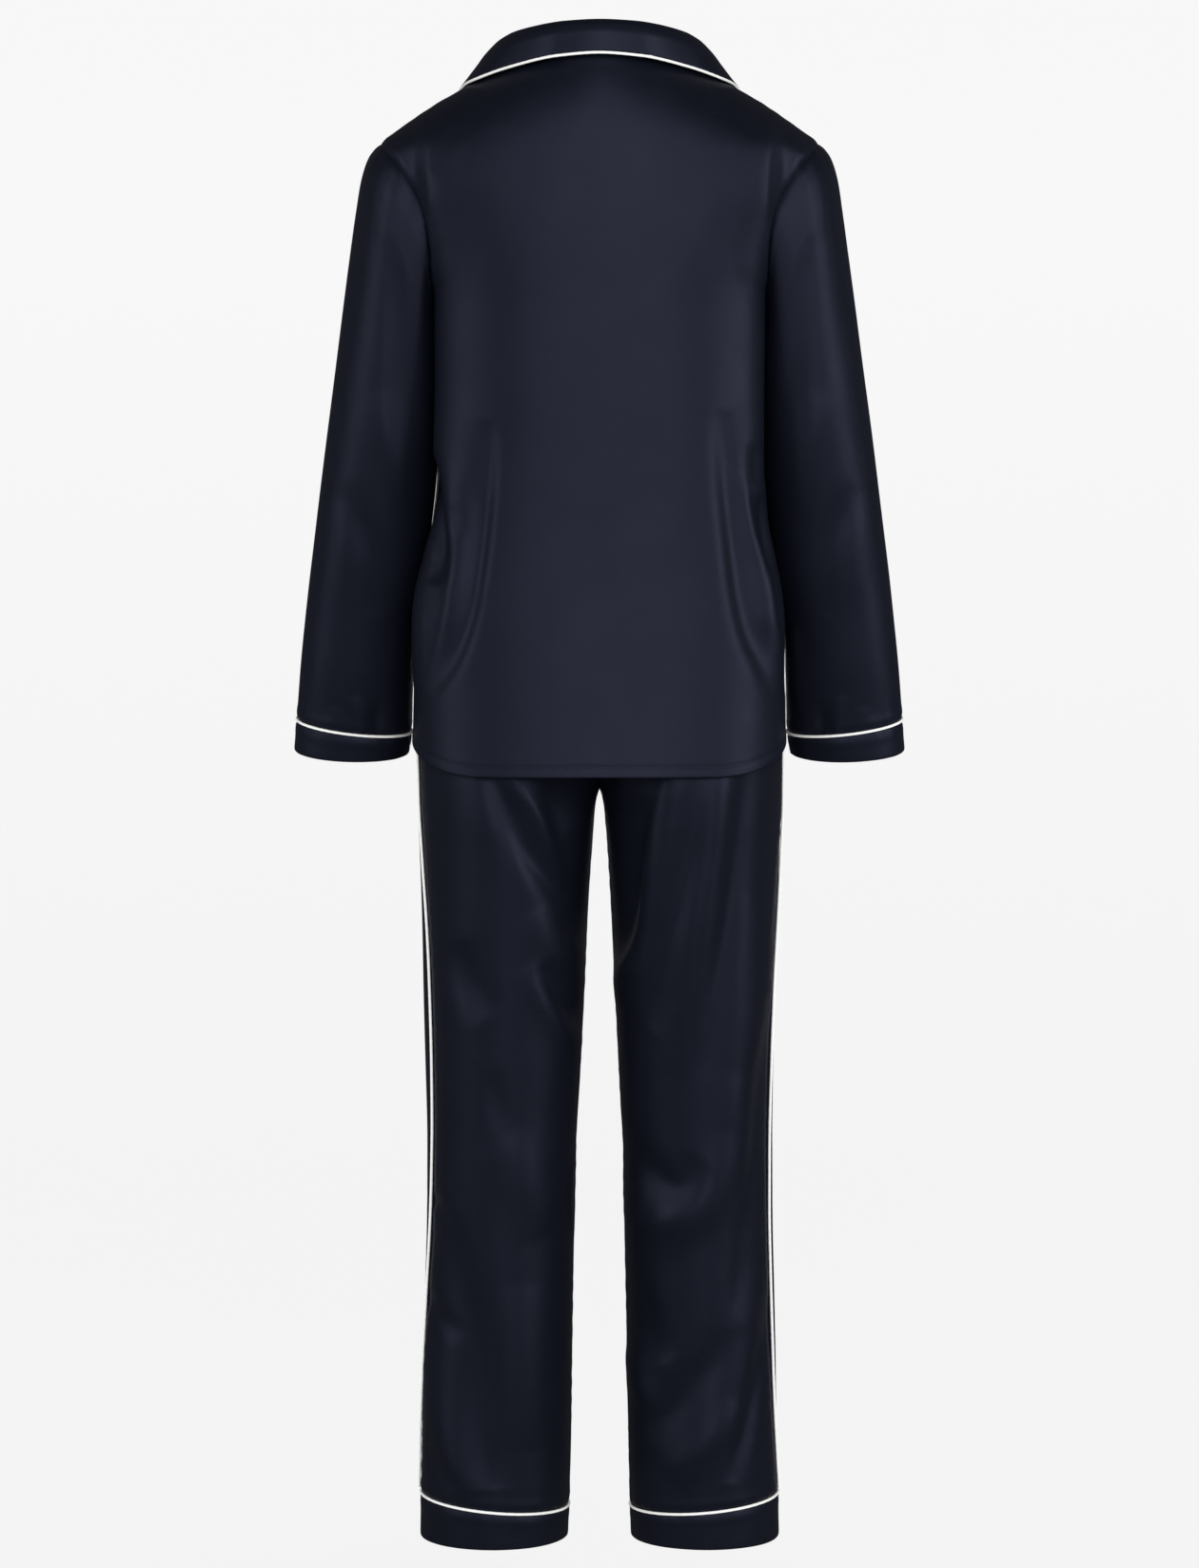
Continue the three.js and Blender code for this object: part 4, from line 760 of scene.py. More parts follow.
LEG_CREASES = [
    # the left leg, from the seat down
    crease(BACK, 11, -6.5, (102, -622), (94, -660), (80, -693), (63, -726), (43, -754), (26, -772)),
    crease(BACK, 9, 5, (85, -622), (78, -660), (60, -685), (45, -713), (35, -740), (27, -766)),
    crease(BACK, 18, -4.5, (60, -646), (37, -672), (13, -700)),
    crease(BACK, 16, 3, (60, -778), (37, -812), (21, -834)),
    crease(BACK, 15, -4.5, (131, -808), (119, -846), (102, -876)),
    crease(BACK, 11, -5, (55, -828), (34, -861), (15, -896)),
    crease(BACK, 11, 4, (64, -828), (43, -874), (20, -920)),
    crease(BACK, 9, -2, (98, -926), (94, -954), (91, -982)),
    crease(BACK, 22, 3.5, (85, -986), (65, -1034), (47, -1080)),
    crease(BACK, 5, 2.8, (21, -1004), (28, -1049), (22, -1094), lean=0.5),
    crease(BACK, 7, -3, (160, -1044), (148, -1057), (135, -1068)),
    crease(BACK, 19, -8, (143, -1064), (129, -1122), (117, -1187), (111, -1253), (102, -1316)),
    crease(BACK, 8, -2.5, (163, -1136), (148, -1158), (130, -1178)),
    crease(BACK, 15, 5.5, (166, -1152), (156, -1209), (146, -1262), (136, -1299), (116, -1326)),
    crease(BACK, 22, 3, (71, -1126), (68, -1200), (63, -1278)),
    crease(BACK, 8, -3, (157, -1286), (145, -1307), (131, -1320)),
    crease(BACK, 17, -10, (38, -640), (32, -690), (26, -750), (16, -820)),
    # the right leg
    crease(BACK, 24, 11, (-69, -618), (-62, -662), (-52, -702), (-45, -746), (-40, -784), (-35, -808), (-26, -832),
           (-15, -854), (-5, -870), lean=0.66),
    crease(BACK, 19, -12, (-29, -672), (-25, -732), (-25, -788), (-17, -832)),
    crease(BACK, 8, 3.5, (-21, -638), (-20, -662), (-19, -688)),
    crease(BACK, 11, -6.5, (-92, -632), (-86, -685), (-77, -741), (-65, -798), (-56, -850), (-48, -892)),
    crease(BACK, 16, 4.5, (-117, -622), (-113, -659), (-108, -711), (-97, -772), (-89, -824), (-83, -885), (-74, -932)),
    crease(BACK, 12, -6, (-137, -622), (-134, -659), (-125, -728), (-117, -798), (-106, -854), (-92, -934)),
    crease(BACK, 16, 4, (-147, -762), (-142, -850), (-134, -911), (-120, -982)),
    crease(BACK, 9, -4.5, (-161, -856), (-151, -924), (-146, -981), (-142, -1034), (-133, -1086)),
    crease(BACK, 20, 5, (-13, -1024), (-47, -1069), (-90, -1055), (-121, -994), (-132, -932)),
    crease(BACK, 16, -5, (-11, -986), (-43, -1018), (-69, -1034), (-92, -1008)),
    crease(BACK, 12, -3.5, (-134, -1066), (-130, -1117), (-122, -1164)),
    crease(BACK, 19, -5.5, (-13, -1124), (-35, -1158), (-57, -1200)),
    crease(BACK, 12, 4.5, (-17, -1184), (-35, -1221), (-50, -1250)),
    crease(BACK, 16, -4.5, (-128, -1158), (-99, -1202), (-72, -1236), (-43, -1270)),
    crease(BACK, 16, 4, (-129, -1236), (-94, -1277), (-64, -1304)),
    crease(BACK, 8, -4.5, (-159, -1134), (-150, -1192), (-141, -1236), (-132, -1273), (-120, -1312)),
    # the fronts of both, which the picture doesn't show
    crease(FRONT, 9, -5, (22, -684), (56, -706), (100, -712), (138, -700)),
    crease(FRONT, 10, 4, (26, -700), (64, -728), (110, -734)),
    crease(FRONT, 9, -4, (24, -730), (52, -762), (88, -786)),
    crease(FRONT, 12, 4, (112, -800), (104, -900), (100, -1010)),
    crease(FRONT, 12, -4.5, (84, -900), (78, -980), (66, -1060)),
    crease(FRONT, 14, 4, (110, -1090), (96, -1180), (80, -1270)),
    crease(FRONT, 9, -4.5, (132, -1100), (124, -1190), (108, -1290)),
    crease(FRONT, 8, -3.5, (60, -1180), (52, -1250), (54, -1320)),
    crease(FRONT, 9, -5, (-24, -688), (-60, -716), (-106, -718)),
    crease(FRONT, 10, 4, (-26, -710), (-58, -742), (-98, -756), (-130, -744)),
    crease(FRONT, 9, -4, (-24, -744), (-48, -790), (-76, -830)),
    crease(FRONT, 12, 4, (-116, -820), (-106, -920), (-96, -1040)),
    crease(FRONT, 12, -4.5, (-84, -880), (-76, -970), (-60, -1050)),
    crease(FRONT, 14, 4, (-106, -1060), (-98, -1170), (-84, -1280)),
    crease(FRONT, 9, -4.5, (-134, -1080), (-122, -1180), (-112, -1300)),
]
MIDDLE_CALM = (1, 18)
SEAM_LAP = 0.4
LEG_COLUMNS, LEG_LINES, BAND_COLUMNS = 78, 240, 112


def inner_turn(z):
    """The turn at which a leg's ellipse meets the middle of the wearer, or its own inner seam lower down."""
    share = read(LEGS, "z", "centre", z) / read(LEGS, "z", "half", z)
    return np.where((z < CROTCH_Z) | (share >= 1), np.pi, np.pi - np.arccos(np.clip(share, -1, 1)))


def leg_point(side, turn, z, lift=0.0, creases=()):
    """An ellipse round the leg's own middle, canted at the hem. The creases stand square on it, and fade where
    the back meets the front, by the square root of the sine of the turn."""
    half, centre = read(LEGS, "z", "half", z), read(LEGS, "z", "centre", z)
    depth = np.where(turn >= 0, read(LEGS, "z", "back", z), read(LEGS, "z", "front", z))
    x, y = centre + half * np.cos(turn), depth * np.sin(turn)
    away = np.stack([np.cos(turn) / half, np.sin(turn) / depth], axis=-1)
    away /= np.linalg.norm(away, axis=-1, keepdims=True)
    fold = sum(np.where(face * turn >= 0, crease_height(creases, face, side * x, z), 0) for face in (BACK, FRONT))
    fold = np.sqrt(np.abs(np.sin(turn))) * smooth(x, *MIDDLE_CALM) * fold + lift
    height = z + read(LEGS, "z", "cant", z) * np.cos(turn)
    x = np.maximum(x + fold * away[..., 0], 0)
    return np.stack([side * x, y + fold * away[..., 1], height], axis=-1)


def leg_levels():
    """The rows of a leg, closer together at the seat, where the folds are, and at the band."""
    seat = np.linspace(WAIST_Z, CROTCH_Z, 62)[:-1]
    below = CROTCH_Z + (LEG_SEAM_Z - CROTCH_Z) * closer(LEG_LINES - 61, 0.5)
    return np.concatenate([seat, below])


levels = leg_levels()
for name, side in (("left", 1), ("right", -1)):
    for face_name, face in (("back", BACK), ("front", FRONT)):
        z, place = np.meshgrid(levels, closer(LEG_COLUMNS, 0.6), indexing="ij")
        turn = mix(np.radians(read(OUTSEAM, "z", name, z)), face * inner_turn(z), place)
        grid = leg_point(side, turn, z, 0, LEG_CREASES)
        grid[:, -1, 0] = np.where(levels > CROTCH_Z, -side * SEAM_LAP, grid[:, -1, 0])
        room = (PIPING / 2 + SEAM_ROOM) * smooth(z, LEG_SEAM_Z + 30, LEG_SEAM_Z)
        grid[..., 2] += room
        crotch = smooth(z, CROTCH_Z - 30, CROTCH_Z - 5) * (1 - smooth(z, CROTCH_Z + 40, CROTCH_Z + 80))
        calm = 1 - crotch * (1 - smooth(side * grid[..., 0], 0, 30))
        panel, grid, _ = make_wall(f"trouser_{face_name}_{name}_satin", grid, navy_satin, calm=calm,
                                   seams=("start", "end", "top"), seed=8.3 + side + 0.4 * face)
        settle(panel, f"trouser_{face_name}_{name}")
print("each leg panel has", len(levels), "rows")

# %% [markdown]
# Under the shirt the trousers end in an elastic waistband. The casing is gathered by the elastic, so it stands
# in small upright waves. The hems end in bands that are turned up and piped like the cuffs.

# %% Waistband and hem bands
GATHERS = 74
BAND_CLOTH = 2.0


def leg_ring(name, side, z, count):
    """A closed ring round a leg at its levels, from the outer seam round the back to the front."""
    start = np.radians(read(OUTSEAM, "z", name, z))
    way = np.linspace(0, 2 * np.pi, count, endpoint=False)
    turn = start[:, None] + way
    turn = (turn + np.pi) % (2 * np.pi) - np.pi
    return turn, z[:, None] + np.zeros(count)


for name, side in (("left", 1), ("right", -1)):
    low = LEG_SEAM_Z - PIPING / 2 - SEAM_ROOM
    z = low + (LEG_END_Z - low) * closer(22, 0.6)
    turn, height = leg_ring(name, side, z, BAND_COLUMNS)
    grid = round_edge(leg_point(side, turn, height), 0.8, 5)
    band, *bands[f"leg_{name}"] = make_wall(f"leg_hem_{name}_satin", grid, navy_satin, BAND_CLOTH, closed=True,
                                            seams=("bottom",), seed=11 + side, uneven=0.3)
    settle(band, f"leg_hem_{name}")
    turn, height = leg_ring(name, side, np.array([LEG_SEAM_Z, LEG_SEAM_Z + 1]), BAND_COLUMNS)
    cord_way = leg_point(side, turn, height)[0]
    cord = tube(f"leg_hem_{name}_cord", cord_way, PIPING / 2, white_satin, closed=True, twist=0.04)
    settle(cord, f"leg_hem_piping_{name}")
    z = np.linspace(WAIST_Z, LEG_SEAM_Z + PIPING, 330)
    cord_way = leg_point(side, np.radians(read(OUTSEAM, "z", name, z)), z, PIPING / 2 + 0.4)
    cord = tube(f"side_{name}_cord", cord_way, PIPING / 2, white_satin, sides=10, twist=0.04)
    settle(cord, f"side_piping_{name}")

z = np.linspace(WAIST_Z + SEAM_ROOM, WAISTBAND_TOP_Z, 18)
rings = []
for side, face in ((1, 1), (-1, 1), (-1, -1), (1, -1)):
    share = np.linspace(0, 1, 70, endpoint=False)
    share = share if side * face > 0 else 1 - share
    turn = share * face * inner_turn(z)[:, None]
    rings.append(leg_point(side, turn, z[:, None] + np.zeros_like(turn)))
grid = np.concatenate(rings, axis=1)
wave = np.arctan2(grid[..., 1], grid[..., 0]) * GATHERS
bulge = np.sin(np.pi * np.linspace(0, 1, len(z)))[:, None]
grid = grid + outward(grid, True) * ((0.5 + 0.4 * np.sin(wave)) * bulge)[..., None]
waistband, grid, _ = make_wall("waistband_satin", grid, navy_satin, 2.0, closed=True, seed=3, uneven=0.2)
settle(waistband, "waistband")

# %% [markdown]
# The collar is cut as one band. It stands up from the neck seam inside, rolls over and falls to its piped edge
# outside, and its front ends meet the lapels in a notch. The roll is round, because the cloth is double.

# %% Collar
COLLAR_CLOTH = 1.4
COLLAR = table("at seamX seamZ rollX rollY rollZ edgeX edgeY edgeZ dip", [
    (-0.18, -30, 0, -31, 70, 29.6, -37, 78, -0.8, 0), (0, 0, 0, 0, 75, 30.5, 0, 83, 1.6, 0), (0.18, 30, 0, 31, 70, 29.6, 37, 78, -0.8, 0),
    (0.36, 59, 0, 63, 49, 26, 82, 53, -9.4, 0), (0.5, 75, 0, 81, 21, 22.5, 112, 30, -18.4, 0),
    (0.6, 78, 0, 86, 0, 20, 123.5, 0, -21.8, 0), (0.72, 78, -5, 86, -31, 11, 131, -34, -32, 0),
    (0.88, 78, -24, 79, -68, -13, 132, -67, -55, 0), (1, 78, -43, 66, -80, -46, 128, -79, -77, 18)])
COLLAR_SECTION = table("place rise fall out", [
    (0, 0, 0, 0), (1, 0.5, 0, -1.2), (2, 0.88, 0, -1.6), (3, 1, 0.05, 0), (4, 1, 0.16, 2.8), (5, 1, 0.38, 3.8),
    (6, 1, 0.6, 2.6), (7, 1, 0.82, 1.2), (8, 1, 1, 0)])
COLLAR_NECK_AT, COLLAR_NOTCH, COLLAR_FLATTENS_AT = 0.6, 0.6, 0.7
LAPEL_LIFT, COLLAR_SEAM_LIFT = 1.3, -0.4
COLLAR_COLUMNS, COLLAR_LINES = 181, 56


def on_front(side, x, z, lift):
    """A place on the outside of a front, moved off it by lift along its own direction."""
    turn = turn_for(x, z)
    point = front_point(side, turn, z)
    across = front_point(side, turn + 0.02, z) - point
    along = front_point(side, turn_for(x, z + 2), z + 2) - point
    away = np.cross(across, along)
    away /= np.linalg.norm(away, axis=-1, keepdims=True)
    away *= -np.sign(away[..., 1:2])
    return point + away * np.asarray(lift)[..., None]


def neck_seam(at):
    """The seam under the collar: level round the back of the neck, then down the front's neckline."""
    x = np.maximum(read(COLLAR, "at", "seamX", at), 0.01)
    behind = shirt_point(1, turn_for(x, np.zeros_like(x)), np.zeros_like(x), BACK)
    z = read(COLLAR, "at", "seamZ", at)
    before = on_front(1, read(NECKLINE, "z", "x", z), z, np.zeros_like(z))
    seam = np.where((at < COLLAR_NECK_AT)[..., None], behind, before)
    return seam + [0, 0, COLLAR_SEAM_LIFT]


def collar_point(along, place):
    """From the neck seam up to the roll by rise, and from there to the edge by fall, bulging by out."""
    at = np.abs(along)
    roll, edge = (np.stack([read(COLLAR, "at", part + axis, at) for axis in "XYZ"], axis=-1)
                  for part in ("roll", "edge"))
    rise, fall, out = (read(COLLAR_SECTION, "place", name, place)[..., None] for name in ("rise", "fall", "out"))
    point = mix(mix(neck_seam(at), roll, rise), edge, fall)
    away = (edge - roll) * [1, 1, 0]
    away /= np.linalg.norm(away, axis=-1, keepdims=True)
    point = point + away * out * (1 - smooth(at, COLLAR_FLATTENS_AT, 1))[..., None]
    notch = np.minimum(fall / COLLAR_NOTCH, (1 - fall) / (1 - COLLAR_NOTCH))[..., 0]
    point[..., 2] -= read(COLLAR, "at", "dip", at) * notch
    lying = on_front(1, point[..., 0], point[..., 2], np.full(at.shape, COLLAR_CLOTH + LAPEL_LIFT))[..., 1]
    pushed = (at > COLLAR_NECK_AT) & (fall[..., 0] > 0)
    point[..., 1] = np.where(pushed, np.minimum(point[..., 1], lying), point[..., 1])
    point[..., 0] *= np.where(along < 0, -1, 1)
    return point


place, along = np.meshgrid(8 * np.linspace(0, 1, COLLAR_LINES), np.linspace(-1, 1, COLLAR_COLUMNS), indexing="ij")
collar, collar_grid, collar_out = make_wall("collar_satin", collar_point(along, place), navy_satin, COLLAR_CLOTH,
                                   seed=5.5, uneven=0.35, out=-1)
settle(collar, "collar")
edge_way = np.linspace(-1, 1, 220)
edge = collar_point(edge_way, np.full(edge_way.shape, 8.0))
inside = collar_point(edge_way, np.full(edge_way.shape, 7.0))
step = edge - inside
cord_way = edge + step / np.linalg.norm(step, axis=1, keepdims=True) * (PIPING / 2 + 0.3)
cord = tube("collar_cord", cord_way, PIPING / 2, white_satin, twist=0.04)
settle(cord, "collar_piping")

# %% [markdown]
# The lapels are the upper corners of the fronts, turned out along a roll line. They lie on the fronts as a
# second layer, a little clear of them at the roll.

# %% Lapels
LAPEL = table("row rollZ edgeX edgeZ", [
    (0, -187, -6, -189.5), (1, -161, 13, -186), (2, -132, 50, -172), (3, -103, 84, -150), (4, -74, 108, -127),
    (5, -46, 122, -106)])
for name, side, first_row in (("left", 1, 1), ("right", -1, 0)):
    row, place = np.meshgrid(np.linspace(first_row, 5, 64), np.linspace(0, 1, 44), indexing="ij")
    roll_z = read(LAPEL, "row", "rollZ", row)
    x = mix(read(NECKLINE, "z", "x", roll_z) + 1, read(LAPEL, "row", "edgeX", row), place)
    z = mix(roll_z, read(LAPEL, "row", "edgeZ", row), place)
    grid = on_front(side, x, z, np.full(x.shape, CLOTH + LAPEL_LIFT))
    lapel, _, _ = make_wall(f"lapel_{name}_satin", grid, navy_satin, seed=7 + side, uneven=0.2)
    settle(lapel, f"lapel_{name}")

# %% [markdown]
# The buttons are round discs with a raised rim and four holes. The face is worked out as heights over a round
# grid, so that the holes are real hollows in the mesh. Two threads cross between the holes.

# %% Buttons
BUTTON_RADIUS, BUTTON_HEIGHT = 5.75, 2.6
BUTTON_TOP_Z, BUTTON_PITCH, BUTTON_COUNT = -203, 92, 5
HOLE_OUT, HOLE_RADIUS, HOLE_DEPTH = 1.55, 0.62, 1.4
BUTTON_RINGS, BUTTON_SIDES = 30, 72


def button_points():
    """Heights over a disc: a dish of 1.95 mm inside a rim of 2.6 mm that rounds down to the back, less four
    round holes."""
    out = np.linspace(0, 1, BUTTON_RINGS)
    around = 2 * np.pi * np.arange(BUTTON_SIDES) / BUTTON_SIDES
    radius = BUTTON_RADIUS * out[:, None] * np.ones(BUTTON_SIDES)
    x, y = radius * np.cos(around), radius * np.sin(around)
    rim = np.exp(-(((radius / BUTTON_RADIUS - 0.84) / 0.1) ** 2))
    top = 1.9 + 0.7 * rim
    top = np.where(radius > 0.84 * BUTTON_RADIUS, 2.6 - 1.7 * ((radius / BUTTON_RADIUS - 0.84) / 0.16) ** 2.5, top)
    for k in range(4):
        angle = math.pi / 4 + k * math.pi / 2
        gap = np.hypot(x - HOLE_OUT * math.cos(angle), y - HOLE_OUT * math.sin(angle))
        top = top - HOLE_DEPTH * (1 - smooth(gap, HOLE_RADIUS * 0.8, HOLE_RADIUS * 1.15))
    face = np.stack([x, y, top], axis=-1)
    under = np.stack([x[::-1], y[::-1], np.full_like(x, 0.1)], axis=-1)
    under[0, :, 2] = 0.5
    return np.concatenate([face, under])


def closed_rows(grid):
    """The faces of a grid that closes round its columns, with both ends drawn to a point."""
    rows, columns = grid.shape[:2]
    index = np.arange(rows * columns).reshape(rows, columns)
    index = np.concatenate([index, index[:, :1]], axis=1)
    quads = [index[:-1, :-1], index[:-1, 1:], index[1:, 1:], index[1:, :-1]]
    return np.stack([corner.ravel() for corner in quads], axis=1)


def capsules(name, starts, ends, outs, radius, material, sides=6):
    """Short stitches joined in one mesh: each is a low arch of thread between two places, thin at both ends."""
    starts, ends, outs = (np.asarray(a, float) for a in (starts, ends, outs))
    t = np.array([0, 0.12, 0.5, 0.88, 1])
    thick = np.array([0.25, 0.85, 1, 0.85, 0.25])
    lift = np.array([-0.6, 0.35, 0.8, 0.35, -0.6]) * radius
    way = ends - starts
    line = way / np.linalg.norm(way, axis=1, keepdims=True)
    side = np.cross(outs, line)
    side /= np.linalg.norm(side, axis=1, keepdims=True)
    turn = 2 * np.pi * np.arange(sides) / sides
    centre = starts[:, None] + way[:, None] * t[:, None] + outs[:, None] * lift[:, None]
    ring = side[:, None] * np.cos(turn)[:, None] + outs[:, None] * np.sin(turn)[:, None]
    points = centre[:, :, None] + ring[:, None] * (radius * thick)[:, None, None]
    count, rows = len(starts), len(t)
    index = np.arange(rows * sides).reshape(rows, sides)
    index = np.concatenate([index, index[:, :1]], axis=1)
    quads = np.stack([c.ravel() for c in (index[:-1, :-1], index[:-1, 1:], index[1:, 1:], index[1:, :-1])], axis=1)
    ends_closed = [[k, k + 1, sides - 2 - k, sides - 1 - k] for k in range(sides // 2 - 1)]
    last = (rows - 1) * sides
    caps = [face for face in ends_closed] + [[last + v for v in face[::-1]] for face in ends_closed]
    one = np.concatenate([quads, np.array(caps)])
    faces = (one[None] + (np.arange(count) * rows * sides)[:, None, None]).reshape(-1, 4)
    return make_mesh(name, points.reshape(-1, 3), faces, None, material)


thread = satin("navy sewing thread", "#1a1d2b", "#12141f", "#cdd3ff", 0.5, 0.3, 0.2)
outline = button_points()
for k in range(BUTTON_COUNT):
    z = BUTTON_TOP_Z - k * BUTTON_PITCH
    seat = on_front(-1, np.array([0.01]), np.array([z], float), np.array([SEAM_ROOM]))[0]
    turn = math.radians(11 * (k - 2) + 4)
    x = outline[..., 0] * math.cos(turn) - outline[..., 1] * math.sin(turn)
    y = outline[..., 0] * math.sin(turn) + outline[..., 1] * math.cos(turn)
    points = seat + np.stack([x, -outline[..., 2], y], axis=-1)
    button = make_mesh(f"button_{k + 1}_moulded", points, closed_rows(outline), None, button_plastic)
    settle(button, f"button_{k + 1}")
    holes = [np.array([HOLE_OUT * math.cos(math.pi / 4 + n * math.pi / 2 + turn), 0,
                       HOLE_OUT * math.sin(math.pi / 4 + n * math.pi / 2 + turn)]) for n in range(4)]
    pairs = [(0, 2), (1, 3)]
    tops = [(seat + holes[a] + [0, -1.7, 0], seat + holes[b] + [0, -1.7, 0]) for a, b in pairs]
    cross = capsules(f"button_{k + 1}_thread", [t[0] for t in tops], [t[1] for t in tops],
                     [[0, -1, 0], [0, -1, 0]], 0.42, thread)
    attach(cross, "root")
print(BUTTON_COUNT, "buttons with four holes")

# %% [markdown]
# The shirt's hem is turned up and stitched 9 mm above its edge. A machine stitch is 2.3 mm long, in a thread
# that is a shade lighter than the cloth. The cuffs, the leg bands and the collar have a row of the same
# stitches beside their piping. Each buttonhole runs across the right front from its button toward the side,
# and is edged with close stitches.

# %% Stitches
STITCH, STITCH_GAP, THREAD_RADIUS = 2.3, 0.9, 0.26


def along_line(points, outs, pitch):
    """Places one pitch apart along a line of points, with the outward direction at each."""
    steps = np.concatenate([[0], np.cumsum(np.linalg.norm(np.diff(points, axis=0), axis=1))])
    at = np.arange(0, steps[-1] - pitch, pitch)
    pick = lambda values, where: np.stack([np.interp(where, steps, values[:, k]) for k in range(3)], axis=1)
    out = pick(outs, at + pitch / 2)
    out /= np.linalg.norm(out, axis=1, keepdims=True)
    return pick(points, at), pick(points, at + STITCH), out


def stitch_line(name, points, outs):
    starts, ends, out = along_line(points, outs, STITCH + STITCH_GAP)
    row_of_stitches = capsules(name, starts + out * 0.1, ends + out * 0.1, out, THREAD_RADIUS, thread, sides=4)
    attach(row_of_stitches, "root")
    return len(starts)


def level_line(grid, normal, inset):
    """The line that lies inset millimetres above a grid's first row, and the directions on it."""
    tall = lengths(grid, 0)
    places = np.arange(grid.shape[1])
    above = (tall < inset).sum(axis=0)
    low, high = above - 1, above
    share = ((inset - tall[low, places]) / (tall[high, places] - tall[low, places]))[:, None]
    return mix(grid[low, places], grid[high, places], share), mix(normal[low, places], normal[high, places], share)


def around_band(line, outs):
    """A band's line with its first place again at the end."""
    return np.vstack([line, line[:1]]), np.vstack([outs, outs[:1]])


PIPING_INSET, COLLAR_INSET = 3, 4
stitches = stitch_line("back_hem_stitches", *level_line(back_grid, back_out, HEM_DEPTH))
for name in front_grids:
    stitches += stitch_line(f"front_{name}_hem_stitches", *level_line(front_grids[name], front_outs[name], HEM_DEPTH))
for name, (grid, outs) in bands.items():
    stitches += stitch_line(f"{name}_band_stitches", *around_band(*level_line(grid, outs, PIPING_INSET)))
stitches += stitch_line("collar_stitches", *level_line(collar_grid[::-1], collar_out[::-1], COLLAR_INSET))
print(stitches, "stitches in the hem, the bands and the collar")

HOLE_LENGTH, HOLE_START, HOLE_PITCH, HOLE_STITCH = 14, 2, 0.6, 1.5


def on_cloth(grid, outs, x, z):
    """Places on a piece as seen from the front, each on the plane of the grid's nearest point."""
    points, normals = grid.reshape(-1, 3), outs.reshape(-1, 3)
    near = ((points[:, 0] - x[:, None]) ** 2 + (points[:, 2] - z[:, None]) ** 2).argmin(axis=1)
    point, out = points[near], normals[near]
    y = point[:, 1] - (out[:, 0] * (x - point[:, 0]) + out[:, 2] * (z - point[:, 2])) / out[:, 1]
    return np.stack([x, y, z], axis=1), out


step = HOLE_START - np.arange(0, HOLE_LENGTH, HOLE_PITCH)
starts, ends, outs = [], [], []
for k in range(BUTTON_COUNT):
    z = BUTTON_TOP_Z - k * BUTTON_PITCH
    for up in (1, -1):
        slit, out = on_cloth(front_grids["right"], front_outs["right"], step, np.full(step.shape, z + 0.2 * up))
        edge, _ = on_cloth(front_grids["right"], front_outs["right"], step,
                           np.full(step.shape, z + HOLE_STITCH * up))
        starts.append(slit + 0.15 * out)
        ends.append(edge + 0.15 * out)
        outs.append(out)
holes = capsules("buttonhole_stitches", np.vstack(starts), np.vstack(ends), np.vstack(outs), 0.3, thread, sides=4)
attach(holes, "root")
print(BUTTON_COUNT, "buttonholes with", len(step) * 2, "stitches each")

# %% [markdown]
# The set stands in a plain round studio. Floor and wall are one sheet of white vinyl, lit from behind, so every
# side has the same pale ground and nothing casts a hard shadow on it. Satin shows its form by one wide soft
# reflection, so big softboxes stand above the camera and to both sides of it. A lower one lights the front,
# and leaves out the vinyl, which would show a pool of its light on the floor.
# The vinyl is kept out of the cloth's shine, so that the edges of the set go dark against it.

# %% Studio
FLOOR_Z, WALL_RADIUS, BEND_RADIUS, WALL_TOP = -1.45, 7.0, 1.6, 6.0
ROUND = 64
white = new_material("backlit white vinyl")
vinyl = add(white, "ShaderNodeBsdfPrincipled",
            {"Base Color": linear("#6c6c6c"), "Roughness": 1, "Specular IOR Level": 0,
             "Emission Color": linear("#ffffff"), "Emission Strength": 0.815})
add(white, "ShaderNodeOutputMaterial", Surface=vinyl.outputs["BSDF"])
bend = np.linspace(0, np.pi / 2, 20)
radius = np.concatenate([[1, 3], WALL_RADIUS - BEND_RADIUS * (1 - np.sin(bend)), [WALL_RADIUS]])
level = np.concatenate([[0, 0], BEND_RADIUS * (1 - np.cos(bend)), [WALL_TOP]]) + FLOOR_Z
around = 2 * np.pi * np.arange(ROUND) / ROUND
rings = np.stack([radius[:, None] * np.cos(around), radius[:, None] * np.sin(around),
                  np.repeat(level[:, None], ROUND, axis=1)], axis=2).reshape(-1, 3)
index = np.arange(len(rings)).reshape(-1, ROUND)
index = np.concatenate([index, index[:, :1]], axis=1)
quads = np.stack([index[:-1, :-1], index[:-1, 1:], index[1:, 1:], index[1:, :-1]], axis=-1).reshape(-1, 4)
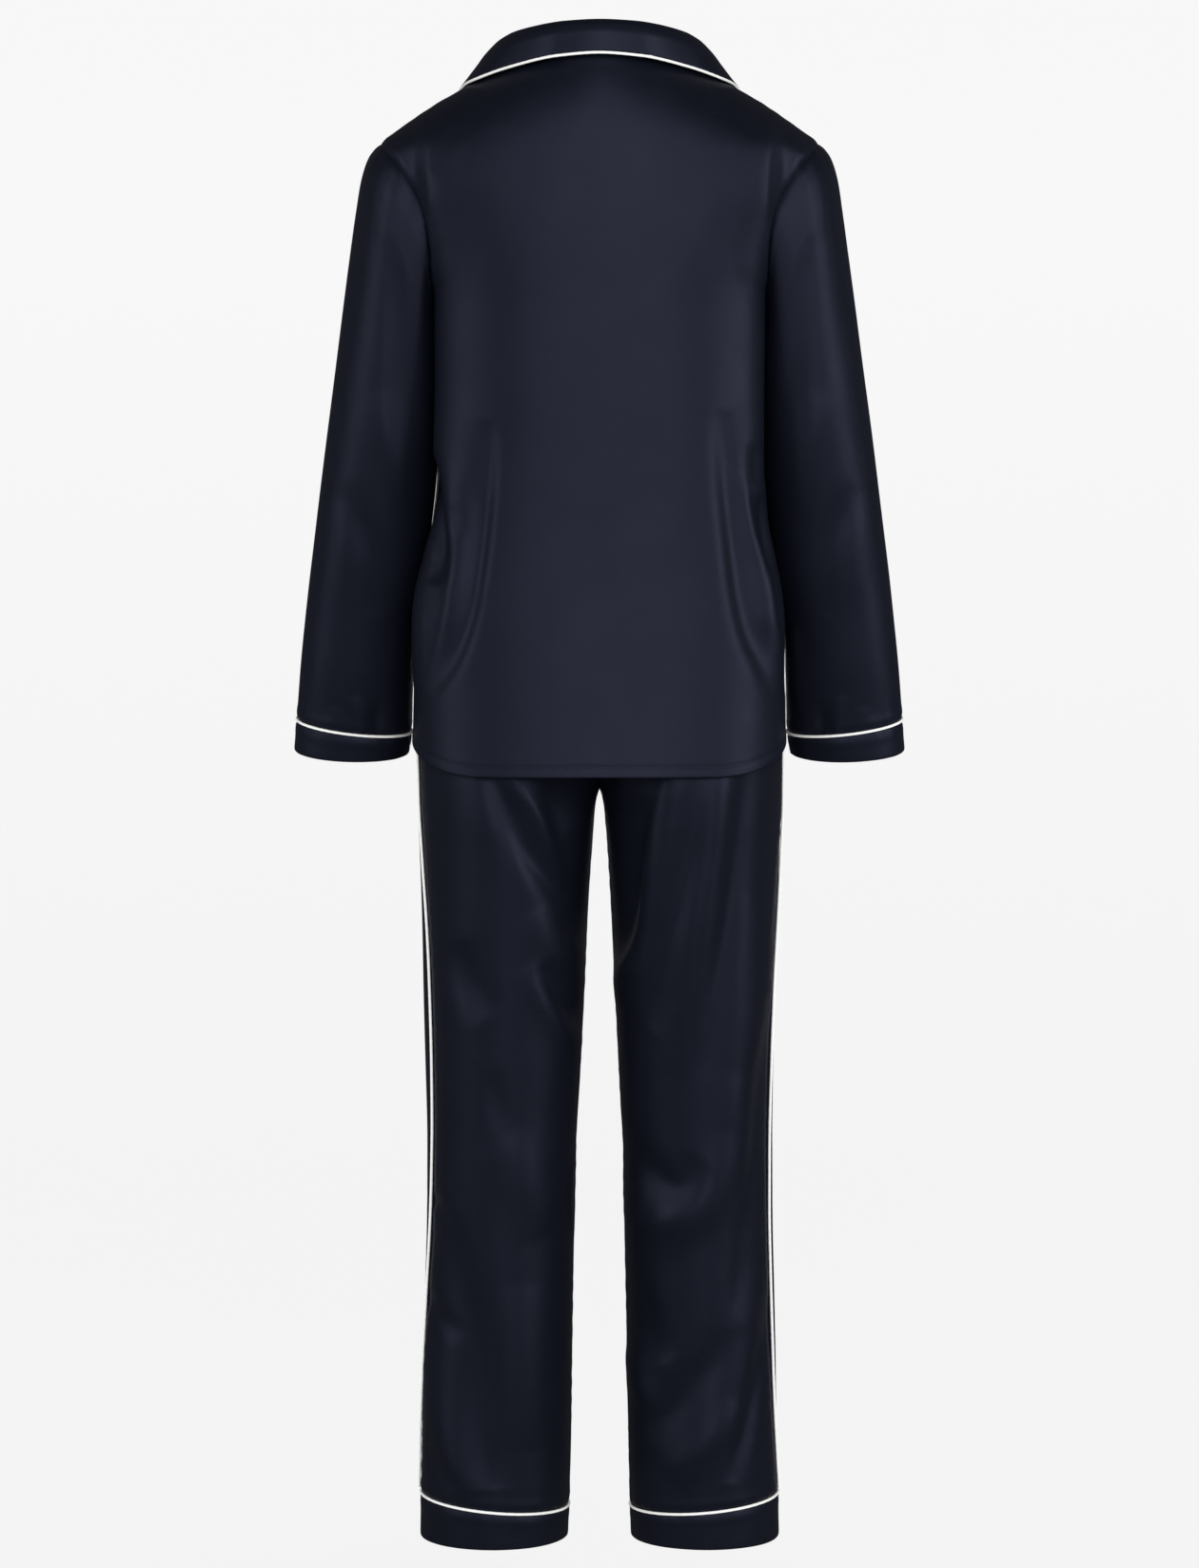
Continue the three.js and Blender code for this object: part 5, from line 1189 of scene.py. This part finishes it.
floor = [[len(rings), b, a] for a, b in zip(index[0, 1:].tolist(), index[0, :-1].tolist())]
mesh = bpy.data.meshes.new("studio sweep")
mesh.from_pydata(rings.tolist() + [[0, 0, FLOOR_Z]], [], quads[:, ::-1].tolist() + floor)
mesh.polygons.foreach_set("use_smooth", np.ones(len(mesh.polygons), bool))
mesh.materials.append(white)
sweep = bpy.data.objects.new("studio_sweep", mesh)
bpy.context.collection.objects.link(sweep)
sweep.visible_glossy = False

world = bpy.data.worlds.new("studio air")
world.use_nodes = True
world.node_tree.nodes["Background"].inputs["Color"].default_value = linear("#ffffff")
world.node_tree.nodes["Background"].inputs["Strength"].default_value = 0.06
bpy.context.scene.world = world


def softbox(name, place, target, size, power):
    """A rectangular area light at a place, turned to face its target and left out of the picture itself."""
    data = bpy.data.lights.new(name, "AREA")
    data.shape = "RECTANGLE"
    data.size, data.size_y = size
    data.energy = power
    light = bpy.data.objects.new(name, data)
    bpy.context.collection.objects.link(light)
    light.location = place
    light.rotation_euler = (Vector(target) - Vector(place)).to_track_quat("-Z", "Y").to_euler()
    light.visible_camera = False
    return light


softbox("key", (-0.4, 4.5, 0.8), (0, 0, -0.5), (2.8, 1.8), 64)
softbox("side right", (-4.0, 2.4, 0.5), (0, 0, -0.5), (2.0, 2.0), 68)
softbox("side left", (4.0, 2.4, 0.6), (0, 0, -0.5), (2.0, 2.0), 44)
front_light = softbox("front", (0.1, -4.2, -0.5), (0, 0, -0.6), (0.9, 1.2), 62)
kept_dark = bpy.data.collections.new("left out of the front light")
kept_dark.objects.link(sweep)
front_light.light_linking.receiver_collection = kept_dark
kept_dark.collection_objects[0].light_linking.link_state = "EXCLUDE"
bpy.context.scene.view_settings.view_transform = "Standard"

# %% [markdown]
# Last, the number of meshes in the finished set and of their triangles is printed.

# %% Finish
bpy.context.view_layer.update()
pieces = [o for o in bpy.data.objects if o.type == "MESH" and not o.hide_render]
print(len(pieces), "meshes,", sum(2 * len(o.data.polygons) for o in pieces), "triangles")
